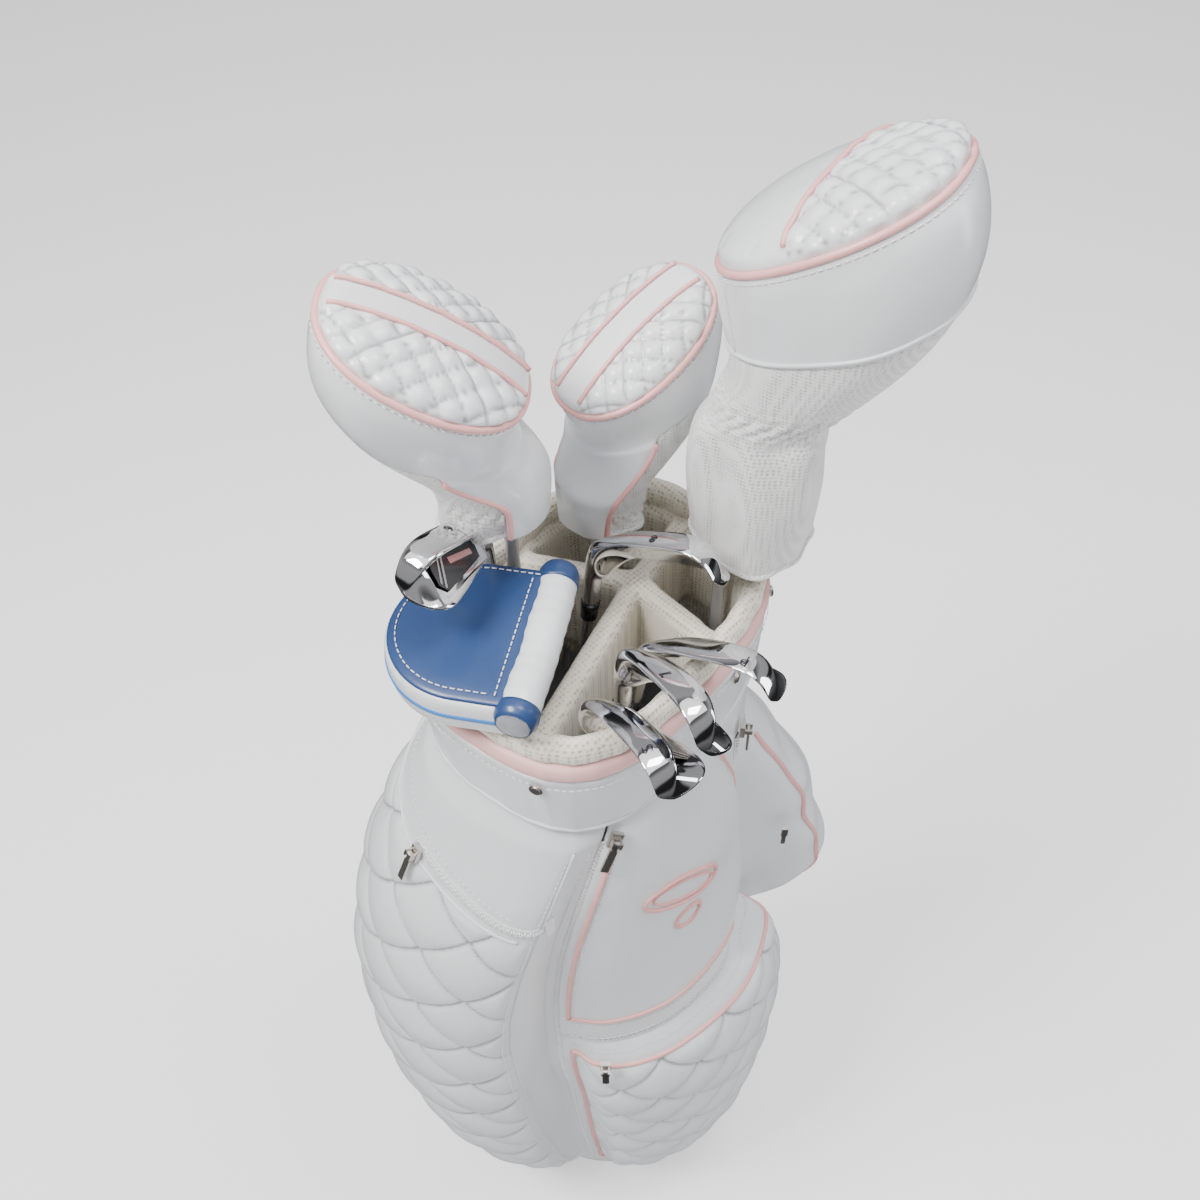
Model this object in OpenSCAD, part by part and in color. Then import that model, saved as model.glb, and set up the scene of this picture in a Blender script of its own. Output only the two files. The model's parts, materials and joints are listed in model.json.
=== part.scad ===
// Golf club set: a soft cart bag on a moulded base, with nine clubs standing head up in it.
// Frame: origin at the centre of the base on the floor, +Z up, front of the bag towards -Y.
// An azimuth on the bag is 0 at the front (-Y), 90 at the right side (+X) and 180 at the spine (+Y).

/* [Bag body] */
// Radius of the moulded base
base_r = 120; // [116:1:126]
// Height of the moulded base cup
base_h = 45; // [40:1:52]
// Half width of the mouth, left to right
mouth_half_w = 127; // [125:1:129]
// Half depth of the mouth, front to back
mouth_half_d = 95; // [93:1:98]
// Squareness of the mouth: 2 is an ellipse, 4 is nearly a rounded square
mouth_power = 3; // [2.8:0.1:3.4]
// How far the mouth is turned from the bag's front, in degrees
mouth_turn = 8; // [6:0.5:10]
// Height of the seam where the collar starts
collar_z = 794; // [790:1:800]
// Height of the pink band's lower edge
band_z = 860; // [857:1:863]
// Height of the padded rim's crown
rim_z = 894; // [891:1:896]
// Thickness of the tube's wall
wall = 3; // [2:0.5:4]

/* [Club divider] */
// Thickness of the padded divider bars
bar_w = 12; // [9:1:12]
// Height of the padded divider
divider_h = 78; // [60:1:90]
// How far the divider's hub stands to the right of the bag's axis
hub_x = 46; // [44:1:48]
// How far the divider's hub stands behind the bag's axis
hub_y = 4; // [2:1:6]

/* [Pockets] */
// How far the left clothes pocket stands off the tube
left_depth = 116; // [90:1:120]
// How far the ball pocket stands off the tube
ball_depth = 66; // [50:1:70]
// How far the upper front pocket stands off the tube
upper_depth = 24; // [16:1:28]
// How far the side pouch stands off the tube
pouch_depth = 108; // [80:1:112]

/* [Clubs] */
// Radius of a steel iron shaft
steel_r = 4.6; // [4.2:0.1:5]
// Radius of a graphite shaft
graphite_r = 5; // [4.6:0.1:5.4]
// Length of a rubber grip
grip_len = 262; // [250:1:270]
// Largest radius of a rubber grip
grip_r = 12.5; // [11.5:0.1:13]
// Length of an iron blade from heel to toe
blade_len = 104; // [96:1:108]
// Slope of an iron's sole to a square across its shaft
iron_slope = 27; // [25:0.5:29]
// Slope of a wood's sole to a square across its shaft
wood_slope = 32; // [30:0.5:34]

/* [Shoulder strap] */
// How far the strap stands out from its two rings
strap_sag = 84; // [60:1:90]
// Width of the padded strap
strap_w = 58; // [45:1:60]

/* [Zips] */
// Radius of the crossbar that a zip's pull tab hangs on
pull_pin_r = 1.2; // [1:0.1:1.4]
// Length of a zip's pull tab
tab_len = 26; // [20:1:30]

/* [Hidden] */

$fn = 48;
white = [0.93, 0.94, 0.95];
pink = [0.95, 0.72, 0.70];
cream = [0.88, 0.84, 0.74];
navy = [0.14, 0.22, 0.42];
chrome = [0.78, 0.79, 0.81];
nickel = [0.62, 0.61, 0.60];
graphite = [0.72, 0.74, 0.78];
rubber = [0.90, 0.90, 0.92];

soft_gap = 0.6;           // clearance between one soft piece and the next
pocket_gap = 2.2;         // clearance between a pocket and the tube
running_gap = 0.05;       // radial clearance of a moving pin in its hole
glue_gap = 0.05;          // radial clearance of a glued shaft in its socket
ring_points = 48;         // points round one section of the tube
floor_z = 31;             // top of the base cup's raised floor, which the grips stand on
cup_floor = 4;            // thickness of that floor
rim_pad_r = 7;            // radius of the padded rim's roll
band_out = 7;             // how far the mouth has widened at the pink band
pocket_top_z = collar_z - 6;
pocket_low_z = base_h + 12;
front_split_z = 472;      // height of the zip between the two front pockets

// ---------- Shape helpers ----------

// A closed skin over rings of equal point count; a looped skin joins its last ring to its first.
module skin(rings, looped = false) {
    count = len(rings[0]);
    last = len(rings) - 1;
    sides = [for (i = [0 : looped ? last : last - 1], j = [0 : count - 1])
        let (k = (j + 1) % count, n = (i + 1) % (last + 1))
        each [[i * count + j, n * count + j, n * count + k], [i * count + j, n * count + k, i * count + k]]];
    start_cap = [for (j = [0 : count - 1]) j];
    end_cap = [for (j = [count - 1 : -1 : 0]) last * count + j];
    polyhedron([for (r = rings) each r], looped ? sides : concat(sides, [start_cap], [end_cap]));
}

function ease(t) = let (c = min(max(t, 0), 1)) c * c * (3 - 2 * c);
function on_bag(a, r, z) = [r * sin(a), -r * cos(a), z];

// Radius of the mouth at an angle from its own front, as a rounded square.
function mouth_r(a) = 1 / pow(pow(abs(sin(a)) / mouth_half_w, mouth_power)
    + pow(abs(cos(a)) / mouth_half_d, mouth_power), 1 / mouth_power);
function turned_mouth_r(a) = mouth_r(a - mouth_turn);

tube_low_r = base_r - 3.6;   // the tube stands inside the base cup
function tube_r(a, z) = tube_low_r
    + (turned_mouth_r(a) - tube_low_r) * ease((z - base_h) / (collar_z - base_h))
    + band_out * ease((z - collar_z) / (band_z - collar_z));

function tube_ring(z, grow) = [for (i = [0 : ring_points - 1])
    let (a = i * 360 / ring_points) on_bag(a, tube_r(a, z) + grow, z)];
function mouth_outline(z, grow) = [for (p = tube_ring(z, grow)) [p[0], p[1]]];

module at_bag(a, r, z) { rotate([0, 0, a]) translate([0, -r, z]) children(); }

// ---------- Bag body ----------

module base_cup() {
    foot = 4;
    cup_wall = 3;
    boss_r = 22;
    drain_r = 5;
    color(white) difference() {
        rotate_extrude($fn = 96) polygon([
            [0, 0], [boss_r, 0], [boss_r + 3, floor_z - cup_floor],
            [base_r - 26, floor_z - cup_floor], [base_r - 20, 0],
            [base_r - foot, 0], [base_r, foot],
            [base_r, base_h - 2], [base_r - 1, base_h], [base_r - cup_wall, base_h],
            [base_r - cup_wall, floor_z], [0, floor_z]]);
        // drain hole, half way out from the centre boss
        translate([base_r / 2, 0, floor_z - cup_floor - 1]) cylinder(r = drain_r, h = cup_floor + 2);
    }
}

rod_r = 3;
rod_azimuths = [28, 152, 208, 332];
module stay_rods() {
    rod_low = on_bag(0, base_r - 11, floor_z + 1);
    color(graphite) for (a = rod_azimuths) {
        top_r = tube_r(a, collar_z) - wall - rod_r - 4;
        lean = atan((top_r + rod_low[1]) / (collar_z - divider_h - rod_low[2]));
        rotate([0, 0, a]) translate(rod_low) rotate([lean, 0, 0])
            cylinder(r = rod_r, h = collar_z - divider_h - rod_low[2], $fn = 24);
    }
}

tube_top_z = collar_z + 8;
module main_tube() {
    heights = [floor_z + soft_gap, base_h + 4, 180, 300, 420, 540, 660, 740, tube_top_z];
    last = len(heights) - 1;
    color(white) skin(concat(
        [for (z = heights) tube_ring(z, 0)],
        [for (i = [last : -1 : 0]) tube_ring(heights[i], -wall)]), looped = true);
}

// The collar is a padded cuff outside the tube's top edge.
module top_collar() {
    out = 2.5;
    low = collar_z - 4;
    color(white) skin([
        tube_ring(low, soft_gap), tube_ring(low, out - 1), tube_ring(low + 4, out),
        tube_ring(band_z - 14, out), tube_ring(band_z - soft_gap, out - 1),
        tube_ring(band_z - soft_gap, -2), tube_ring(tube_top_z + soft_gap, -2),
        tube_ring(tube_top_z + soft_gap, soft_gap)], looped = true);
}

module rim_band() {
    h = 14;
    color(pink) skin([
        tube_ring(band_z, -3), tube_ring(band_z, 1), tube_ring(band_z + h / 2, 1.5),
        tube_ring(band_z + h, 0), tube_ring(band_z + h, -3)], looped = true);
}

// The cream roll that the clubs lean on; its section is a round-cornered bar.
module rim_pad() {
    low = band_z + 14 + soft_gap;
    inner = -2 * rim_pad_r;
    color(cream) skin([
        tube_ring(low, -1), tube_ring(low + 8, -1), tube_ring(rim_z - 5, -3.5),
        tube_ring(rim_z, -rim_pad_r), tube_ring(rim_z - 4, inner + 4), tube_ring(rim_z - 12, inner),
        tube_ring(low, inner)], looped = true);
}

divider_top = band_z + 12;
divider_grow = -6;
// Ends of the four divider bars on the mouth, as azimuths.
bar_ends = [100, 24, 294, 184];
hub_at = [hub_x, hub_y];
module club_divider() {
    z = divider_top - divider_h;
    cuff = 6;
    color(cream) translate([0, 0, z]) linear_extrude(divider_h) {
        difference() {
            polygon(mouth_outline(collar_z - 60, divider_grow));
            polygon(mouth_outline(collar_z - 60, divider_grow - cuff));
        }
        intersection() {
            polygon(mouth_outline(collar_z - 60, divider_grow - 1));
            union() {
                translate(hub_at) circle(r = bar_w / 2 + 1);
                for (a = bar_ends) divider_bar(a);
            }
        }
    }
}

module divider_bar(a) {
    end = turned_mouth_r(a) * [sin(a), -cos(a)];
    way = end - hub_at;
    translate(hub_at) rotate(atan2(way[1], way[0])) translate([0, -bar_w / 2]) square([norm(way), bar_w]);
}

// ---------- Pockets ----------

// Azimuth of the long seam between the left pocket and the front pockets.
function seam_a(z) = z > 500 ? -61 + 20 * pow((z - 500) / 290, 2) : -61 + 7 * (500 - z) / 430;

// A pocket on the tube: edges and depth are given at each height, and it fades at its edges.
module pocket(zs, left, right, depths, fullness) {
    steps = 14;
    skin([for (i = [0 : len(zs) - 1]) concat(
        [for (k = [0 : steps])
            let (u = k / steps, a = left[i] + (right[i] - left[i]) * u,
                rise = pow(max(1 - pow(abs(2 * u - 1), fullness), 0), 1 / fullness))
            on_bag(a, tube_r(a, zs[i]) + pocket_gap + 1 + depths[i] * rise, zs[i])],
        [for (k = [steps : -1 : 0])
            let (a = left[i] + (right[i] - left[i]) * k / steps)
            on_bag(a, tube_r(a, zs[i]) + pocket_gap, zs[i])])]);
}

// Right edge of the ball pocket: it reaches round below the side pouch.
front_right = 45;
function ball_right_a(z) = front_right + 26 * ease((400 - z) / 90);
module ball_pocket() {
    zs = [pocket_low_z, 90, 150, 230, 300, 325, 350, 375, 400, 440, front_split_z - 6];
    share = [0.22, 0.52, 0.75, 0.9, 0.97, 0.98, 1, 1, 1, 0.92, 0.72];
    color(white) pocket(zs, [for (z = zs) seam_a(z) + 2], [for (z = zs) ball_right_a(z)],
        [for (s = share) s * ball_depth], 3.4);
}

// Right edge of the upper front pocket: it bows out and comes in again at the top.
function upper_right_a(z) = 34 - 22 * pow(abs(z - 620) / 165, 2.4);
module upper_pocket() {
    zs = [front_split_z + 6, 520, 570, 620, 670, 710, 745, pocket_top_z - 8];
    share = [1.5, 1.35, 1.15, 1, 0.95, 0.8, 0.5, 0.15];
    color(white) pocket(zs, [for (z = zs) seam_a(z) + 2], [for (z = zs) upper_right_a(z)],
        [for (s = share) s * upper_depth], 4);
}

left_end_a = -158;
left_zs = [pocket_low_z, 90, 150, 230, 320, 420, 520, 600, 660, 715, 755, pocket_top_z];
left_share = [0.24, 0.48, 0.7, 0.88, 0.98, 1, 0.93, 0.78, 0.6, 0.38, 0.18, 0.02];
module left_pocket() {
    color(white) pocket(left_zs, [for (z = left_zs) left_end_a], [for (z = left_zs) seam_a(z) - 2],
        [for (s = left_share) s * left_depth], 2.7);
}

pouch_zs = [410, 443, 500, 580, 650, 700];
pouch_left = 47;
module side_pouch() {
    share = [0.7, 1, 0.9, 0.66, 0.32, 0.03];
    color(white) pocket(pouch_zs, [for (z = pouch_zs) pouch_left], [for (z = pouch_zs) pouch_left + 50],
        [for (s = share) s * pouch_depth], 3);
}

// ---------- Zips ----------

ball_zip_r = tube_low_r + ball_depth * 0.96 + 3;
ball_zip_a = -45;
small_zip_z = 714;
small_zip_a = -98;
small_zip_r = 183;
small_zip_tilt = 28;
upper_zip_a = 38.5;
upper_zip_z = 738;
upper_zip_r = 117;
pouch_zip_z = 550;
pouch_zip_a = 46.4;
pouch_zip_r = 167;
long_zip_z = 770;
long_zip_a = -41;
long_zip_r = 135;
long_zip_turn = -32.5;
long_zip_tilt = 18;
long_zip_roll = 26;

module zip_run(a0, a1, r, z) {
    tape = 10;
    rotate([0, 0, a0 - 90]) rotate_extrude(angle = a1 - a0, $fn = 180)
        translate([r, z - tape / 2]) square([1.2, tape]);
}

module zip_chains() {
    side_run = 200;
    side_tape = 8;
    color(nickel) {
        zip_run(ball_zip_a - 6, front_right - 2, ball_zip_r - slider_size[1] - 2.5, front_split_z);
        at_bag(upper_zip_a, upper_zip_r - slider_size[1] - 1.2, upper_zip_z - side_run)
            translate([-side_tape / 2, 0, 0]) cube([side_tape, 1, side_run - 4]);
    }
}

// A zip slider: a body with two ears that hold the crossbar of its tab. Local -Y is outward.
slider_size = [9, 4, 13];
ear = [1.6, 6, 5];
module slider() {
    ear_x = 3.2;
    color(nickel) {
        translate([-slider_size[0] / 2, 0, 0]) cube(slider_size);
        for (side = [-1, 1]) translate([side * ear_x - ear[0] / 2, -ear[1], slider_size[2] / 2 - ear[2] / 2])
            cube([ear[0], ear[1] + 0.5, ear[2]]);
        translate([-ear_x, -ear[1] / 2, slider_size[2] / 2]) rotate([0, 90, 0])
            cylinder(r = pull_pin_r, h = 2 * ear_x, $fn = 24);
    }
}

// The tab hangs from the crossbar by a round eye.
module tab() {
    tab_w = 6;
    eye_w = 4;
    thick = 2;
    eye_r = 2.7;
    color(nickel) translate([0, -ear[1] / 2, slider_size[2] / 2]) difference() {
        union() {
            translate([-eye_w / 2, 0, 0]) rotate([0, 90, 0]) cylinder(r = eye_r - 0.3, h = eye_w, $fn = 24);
            translate([-eye_w / 2, -thick / 2, -eye_r - 5]) cube([eye_w, thick, eye_r + 4]);
            translate([-tab_w / 2, -thick / 2, -tab_len]) cube([tab_w, thick, tab_len - 6]);
        }
        translate([-tab_w, 0, 0]) rotate([0, 90, 0])
            cylinder(r = pull_pin_r + running_gap, h = 2 * tab_w, $fn = 24);
    }
}

module ball_zip_slider() { at_bag(ball_zip_a, ball_zip_r, front_split_z - 6.5) slider(); }
module ball_zip_tab() { at_bag(ball_zip_a, ball_zip_r, front_split_z - 6.5) tab(); }
module upper_zip_slider() { at_bag(upper_zip_a, upper_zip_r, upper_zip_z) slider(); }
module upper_zip_tab() { at_bag(upper_zip_a, upper_zip_r, upper_zip_z) tab(); }
module at_long_zip() {
    translate(on_bag(long_zip_a, long_zip_r, long_zip_z)) rotate([-long_zip_tilt, 0, long_zip_turn])
        rotate([0, long_zip_roll, 0]) children();
}
module long_zip_slider() { at_long_zip() slider(); }
module long_zip_tab() { at_long_zip() tab(); }
module at_small_zip() { at_bag(small_zip_a, small_zip_r, small_zip_z) rotate([-small_zip_tilt, 0, 0]) children(); }
module small_zip_slider() { at_small_zip() slider(); }
module small_zip_tab() { at_small_zip() tab(); }
// The pouch's zip runs down its left gusset, so its pull faces along the tube rather than out.
module pouch_zip_pull() {
    color(nickel) at_bag(pouch_zip_a, pouch_zip_r, pouch_zip_z) rotate([0, 0, -90]) {
        translate([-3, -3, 0]) cube([6, 3, 12]);
        translate([-2, -2.5, -14]) cube([4, 2, 15]);
    }
}

// ---------- Handle, snaps and strap ----------

handle_low_z = 560;
handle_top_z = 700;
handle_r = 9;
module carry_handle() {
    stand = 34;
    bend = 24;
    foot_r = tube_r(180, handle_low_z) + 2 * soft_gap;
    color(white) at_bag(180, foot_r, 0) {
        translate([0, -handle_r - stand + handle_r, handle_low_z + bend])
            cylinder(r = handle_r, h = handle_top_z - handle_low_z - 2 * bend);
        for (end = [[handle_low_z + bend, -1], [handle_top_z - bend, 1]])
            translate([0, -stand + bend, end[0]]) rotate([0, 0, 90]) rotate([90, 0, 0])
                rotate([0, 0, end[1] > 0 ? 90 : 180])
                    rotate_extrude(angle = 90) translate([bend, 0]) circle(r = handle_r);
        for (z = [handle_low_z, handle_top_z]) translate([0, 0, z]) rotate([90, 0, 0])
            cylinder(r = handle_r, h = stand - bend);
    }
}

module hood_snaps() {
    cap_r = 5;
    cap_h = 2.4;
    color(nickel) for (a = [-62, -22, 22, 62, 118, 242])
        at_bag(a, tube_r(a, band_z - 9) + 4, band_z - 9) rotate([90, 0, 0]) {
            cylinder(r = cap_r, h = cap_h - 1, $fn = 32);
            cylinder(r = cap_r - 1.2, h = cap_h, $fn = 32);
        }
}

strap_a = 138;
strap_axis_r = 146;
strap_top_z = 735;
strap_low_z = 235;
ring_r = 11;
ring_wire = 2;
module strap_rings() {
    color(nickel) for (z = [strap_top_z, strap_low_z]) at_bag(strap_a, 0, z) {
        translate([0, -strap_axis_r, 0]) rotate_extrude() translate([ring_r, 0]) circle(r = ring_wire, $fn = 20);
        tube_here = tube_r(strap_a, z) + 4 * soft_gap;
        translate([-7, -tube_here - 14, -3]) difference() {
            cube([14, 14, 6]);
            translate([7, 14 + tube_here - strap_axis_r, 0]) rotate_extrude()
                translate([ring_r, 3]) circle(r = ring_wire + 0.2, $fn = 20);
        }
    }
}

// The strap bows out from its rings and can swing round the line through them.
strap_steps = 12;
function strap_out(u) = strap_sag * pow(sin(180 * u), 0.7);
module shoulder_strap() {
    z0 = strap_low_z + 34;
    z1 = strap_top_z - 34;
    web = 12;
    thick = 7;
    color(white) at_bag(strap_a, strap_axis_r, 0) skin([for (i = [0 : strap_steps])
        let (u = i / strap_steps, z = z0 + (z1 - z0) * u, out = strap_out(0.04 + 0.92 * u),
            half = web + (strap_w / 2 - web) * ease(min(u, 1 - u) * 5))
        [[-half, -out - thick, z], [half, -out - thick, z], [half, -out, z], [-half, -out, z]]]);
}

module strap_hooks() {
    hook_r = 4;
    color(nickel) for (end = [[strap_top_z, -1], [strap_low_z, 1]])
        at_bag(strap_a, strap_axis_r, end[0] + end[1] * 18) {
            translate([-9, -strap_out(0.04) - 8, end[1] > 0 ? 6 : -9]) cube([18, 8, 3]);
            translate([0, -14, -end[1] * 10]) rotate([0, 90, 0]) translate([0, 0, -hook_r / 2])
                cylinder(r = hook_r, h = hook_r, $fn = 24);
            translate([-2, -17, end[1] > 0 ? -8 : -7]) cube([4, 6, 15]);
        }
}

// ---------- Clubs ----------

// A club stands on its butt and leans so that its shaft crosses the rim's height at rim_at.
rim_cross_z = 900;
// Each club: butt point, point at the rim, butt height, azimuth its toe points to, and length.
driver_at = [[82, -41], [98, -34], 35, 20, 1110];
fairway_at = [[4, 91], [-22, 63], 35, 222, 1060];
hybrid_at = [[-19, 61], [52, 50], 35, 83, 985];
putter_at = [[-70, -19], [-78, -8], 60, 123, 864];
iron_7_at = [[1, 2], [-47, -73], 35, 343, 914];
iron_8_at = [[-40, 81], [12, 14], 35, 13, 902];
iron_9_at = [[-20, 20], [-44, 64], 80, 287, 889];
iron_p_at = [[-69, 61], [-19, -66], 44, 12, 880];
iron_s_at = [[-30, -8], [-78, -70], 35, 344, 880];

module on_club(club, along) {
    run = club[1] - club[0];
    way = atan2(run[1], run[0]);
    lean = atan(norm(run) / (rim_cross_z - club[2]));
    translate([club[0][0], club[0][1], club[2]]) rotate([0, 0, way]) rotate([0, lean, 0])
        rotate([0, 0, club[3] - 90 - way]) translate([0, 0, along]) children();
}

// Shafts are straight tubes that taper from the grip to the head; irons carry a black ferrule.
socket_len = 28;
module club_shaft(club, tip_r, end_short, paint) {
    butt_r = 7;
    start = 4;
    color(paint) on_club(club, start) {
        cylinder(r = butt_r, h = grip_len - start, $fn = 32);
        translate([0, 0, grip_len - start]) cylinder(r1 = butt_r, r2 = tip_r, h = 180, $fn = 32);
        translate([0, 0, grip_len - start + 180])
            cylinder(r = tip_r, h = club[4] - end_short - grip_len - 180, $fn = 32);
    }
}

module ferrule_on(club, along, tip_r) {
    color([0.05, 0.05, 0.06]) on_club(club, along)
        cylinder(r1 = tip_r + 0.3, r2 = tip_r + 2, h = 17, $fn = 32);
}

module club_grip(club) {
    color(rubber) on_club(club, 0) rotate_extrude() polygon([
        [0, 0], [grip_r - 2, 0], [grip_r, 2], [grip_r, 8], [grip_r - 1.2, 10],
        [9, grip_len], [7 + glue_gap, grip_len], [7 + glue_gap, 4 - glue_gap], [0, 4 - glue_gap]]);
}

// Iron head: a lofted blade that turns into its hosel, as one skin of rings from the toe to the hosel's end.
// Before it is tilted, local X runs from heel to toe and +Z is the sole side.
hosel_r = 7.2;
hosel_len = 66;
ring_turn = 22.5;
mid_bulge = 1.05;         // how far a point halfway along an edge stands out, against the edge itself
function with_mids(p) = let (c = (p[0] + p[2] + p[4] + p[6]) / 4) [for (i = [0 : len(p) - 1])
    each [p[i], c + mid_bulge * ((p[i] + p[(i + 1) % len(p)]) / 2 - c)]];
function tilted(p) = [p[0] * cos(iron_slope) - p[2] * sin(iron_slope), p[1],
    p[0] * sin(iron_slope) + p[2] * cos(iron_slope)];
function blade_ring(u, sole_z, top_z, sole_w, top_w, loft) = with_mids([
    for (p = [
        [0, sole_z - 3], [sole_w * 0.3, sole_z], [sole_w, sole_z - 3], [sole_w, sole_z - 9],
        [top_w + 3, (sole_z + top_z) / 2], [top_w, top_z + 2], [top_w / 2, top_z], [0, top_z + 1]])
    tilted([u, p[0] + (sole_z - p[1]) * sin(loft) - 4, sole_z + (p[1] - sole_z) * cos(loft)])]);
function elbow_ring() = [for (i = [0 : 15]) let (t = 225 - i * ring_turn)
    [1.5 + 9 * cos(t), 1 + 8.5 * sin(t), -23 - 12 * cos(t)]];
function hosel_ring(h) = [for (i = [0 : 15]) let (t = 225 - i * ring_turn) [hosel_r * cos(t), hosel_r * sin(t), h]];

module iron_head(club, loft) {
    toe = blade_len - 14;
    color(chrome) on_club(club, club[4]) difference() {
        skin([
            blade_ring(toe, -24, -40, 12, 6, loft), blade_ring(toe * 0.97, -13, -48, 17, 5, loft),
            blade_ring(toe * 0.85, -3, -52, 21, 5, loft), blade_ring(toe * 0.6, 0, -45, 22, 5, loft),
            blade_ring(16, 0, -34, 20, 5, loft), elbow_ring(), hosel_ring(-44), hosel_ring(-hosel_len)]);
        translate([0, 0, -hosel_len - 1]) cylinder(r = steel_r + glue_gap, h = socket_len + 1, $fn = 32);
    }
}

module iron_shaft(club) {
    color(chrome) club_shaft(club, steel_r, hosel_len - socket_len + 1, chrome);
    ferrule_on(club, club[4] - hosel_len - 17.5, steel_r);
}

// Wood head: ovals stacked from crown to sole, grown by an allowance for the covers.
// size is half length, half depth, height and how far the middle lies behind the shaft.
function wood_ring(size, z, k, grow) = [for (i = [0 : 27])
    let (a = i * 360 / 28, c = cos(a), s = sin(a), e = 0.86)
    [size[0] * 0.82 + (size[0] * k + grow) * sign(c) * pow(abs(c), e),
     size[3] + (size[1] * k + grow) * sign(s) * pow(abs(s), e), z]];
function wood_rings(size, grow) = let (h = size[2]) [
    wood_ring(size, -h - grow, 0.38, grow), wood_ring(size, -h * 0.86 - grow, 0.72, grow),
    wood_ring(size, -h * 0.65, 0.94, grow), wood_ring(size, -h * 0.42, 1, grow),
    wood_ring(size, -h * 0.22, 0.97, grow), wood_ring(size, -h * 0.06 + grow, 0.82, grow),
    wood_ring(size, grow, 0.55, grow)];

wood_hosel_r = 6.6;
module wood_head(club, size, paint) {
    hosel = size[2] + 26;
    color(paint) on_club(club, club[4]) difference() {
        union() {
            rotate([0, -wood_slope, 0]) skin(wood_rings(size, 0));
            translate([0, 0, -hosel]) cylinder(r = wood_hosel_r, h = hosel - 6, $fn = 32);
        }
        translate([0, 0, -hosel - 1]) cylinder(r = graphite_r + glue_gap, h = socket_len + 1, $fn = 32);
    }
}

module wood_shaft(club, size) {
    club_shaft(club, graphite_r, size[2] + 26 - socket_len + 1, graphite);
    ferrule_on(club, club[4] - size[2] - 26 - 17.5, graphite_r);
}

// Headcover: a padded cap over the head, open along the shaft so that it draws straight off.
module wood_cover(club, size, skirt) {
    slack = 3;
    pad = 15;
    color(white) on_club(club, club[4]) difference() {
        hull() {
            rotate([0, -wood_slope, 0]) skin(wood_rings(size, slack + pad));
            translate([0, 0, -skirt]) rotate([0, -wood_slope * 0.35, 0])
                skin([wood_ring(size, -4, 1, slack + pad - 3), wood_ring(size, 0, 1, slack + pad - 2)]);
        }
        hull() {
            rotate([0, -wood_slope, 0]) skin(wood_rings(size, slack));
            translate([0, 0, -2 * skirt - 60]) rotate([0, -wood_slope, 0]) skin(wood_rings(size, slack));
        }
        translate([0, 0, -2 * skirt - 60]) cylinder(r = wood_hosel_r + slack, h = 2 * skirt + 60, $fn = 32);
    }
}

// Knitted sock below a headcover, a loose tube round the shaft.
module cover_sock(club, top, bottom, top_r, low_r, toe_shift) {
    knit = 2.5;
    color(white) on_club(club, club[4] - bottom) translate([toe_shift, 6, 0]) rotate_extrude() polygon([
        [low_r, 0], [low_r + 3, (bottom - top) * 0.3], [top_r - 3, (bottom - top) * 0.75], [top_r, bottom - top],
        [top_r - knit, bottom - top], [top_r - knit - 3, (bottom - top) * 0.75],
        [low_r + 3 - knit, (bottom - top) * 0.3], [low_r - knit, 0]]);
}

driver_size = [62, 54, 58, 30];
fairway_size = [50, 40, 38, 20];
hybrid_size = [48, 30, 36, 14];
module driver_head() { wood_head(driver_at, driver_size, pink); }
module driver_shaft() { wood_shaft(driver_at, driver_size); }
module driver_grip() { club_grip(driver_at); }
module driver_cover() { wood_cover(driver_at, driver_size, 62); }
module driver_sock() { cover_sock(driver_at, 118, 236, 46, 40, 18); }
module fairway_head() { wood_head(fairway_at, fairway_size, pink); }
module fairway_shaft() { wood_shaft(fairway_at, fairway_size); }
module fairway_grip() { club_grip(fairway_at); }
module fairway_cover() { wood_cover(fairway_at, fairway_size, 44); }
module fairway_sock() { cover_sock(fairway_at, 78, 112, 32, 24, 6); }
module hybrid_head() { wood_head(hybrid_at, hybrid_size, pink); }
module hybrid_shaft() { wood_shaft(hybrid_at, hybrid_size); }
module hybrid_grip() { club_grip(hybrid_at); }
module hybrid_cover() { wood_cover(hybrid_at, hybrid_size, 42); }
module hybrid_sock() { cover_sock(hybrid_at, 90, 112, 30, 30, 10); }

module iron_7_head() { iron_head(iron_7_at, 33); }
module iron_7_shaft() { iron_shaft(iron_7_at); }
module iron_7_grip() { club_grip(iron_7_at); }
module iron_8_head() { iron_head(iron_8_at, 37); }
module iron_8_shaft() { iron_shaft(iron_8_at); }
module iron_8_grip() { club_grip(iron_8_at); }
module iron_9_head() { iron_head(iron_9_at, 42); }
module iron_9_shaft() { iron_shaft(iron_9_at); }
module iron_9_grip() { club_grip(iron_9_at); }
module iron_p_head() { iron_head(iron_p_at, 46); }
module iron_p_shaft() { iron_shaft(iron_p_at); }
module iron_p_grip() { club_grip(iron_p_at); }
module iron_s_head() { iron_head(iron_s_at, 54); }
module iron_s_shaft() { iron_shaft(iron_s_at); }
module iron_s_grip() { club_grip(iron_s_at); }

// Putter: a mallet with a D outline. Its straight edge is the face, and the shaft stands near it.
// Local X runs along the face to the toe, local +Y runs from the face to the back.
module mallet_outline(half, depth) {
    intersection() {
        translate([-half, 0]) square([2 * half, depth]);
        translate([0, depth - half]) circle(r = half, $fn = 64);
    }
    translate([-half, 0]) square([2 * half, max(depth - half, 1)]);
}

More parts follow.
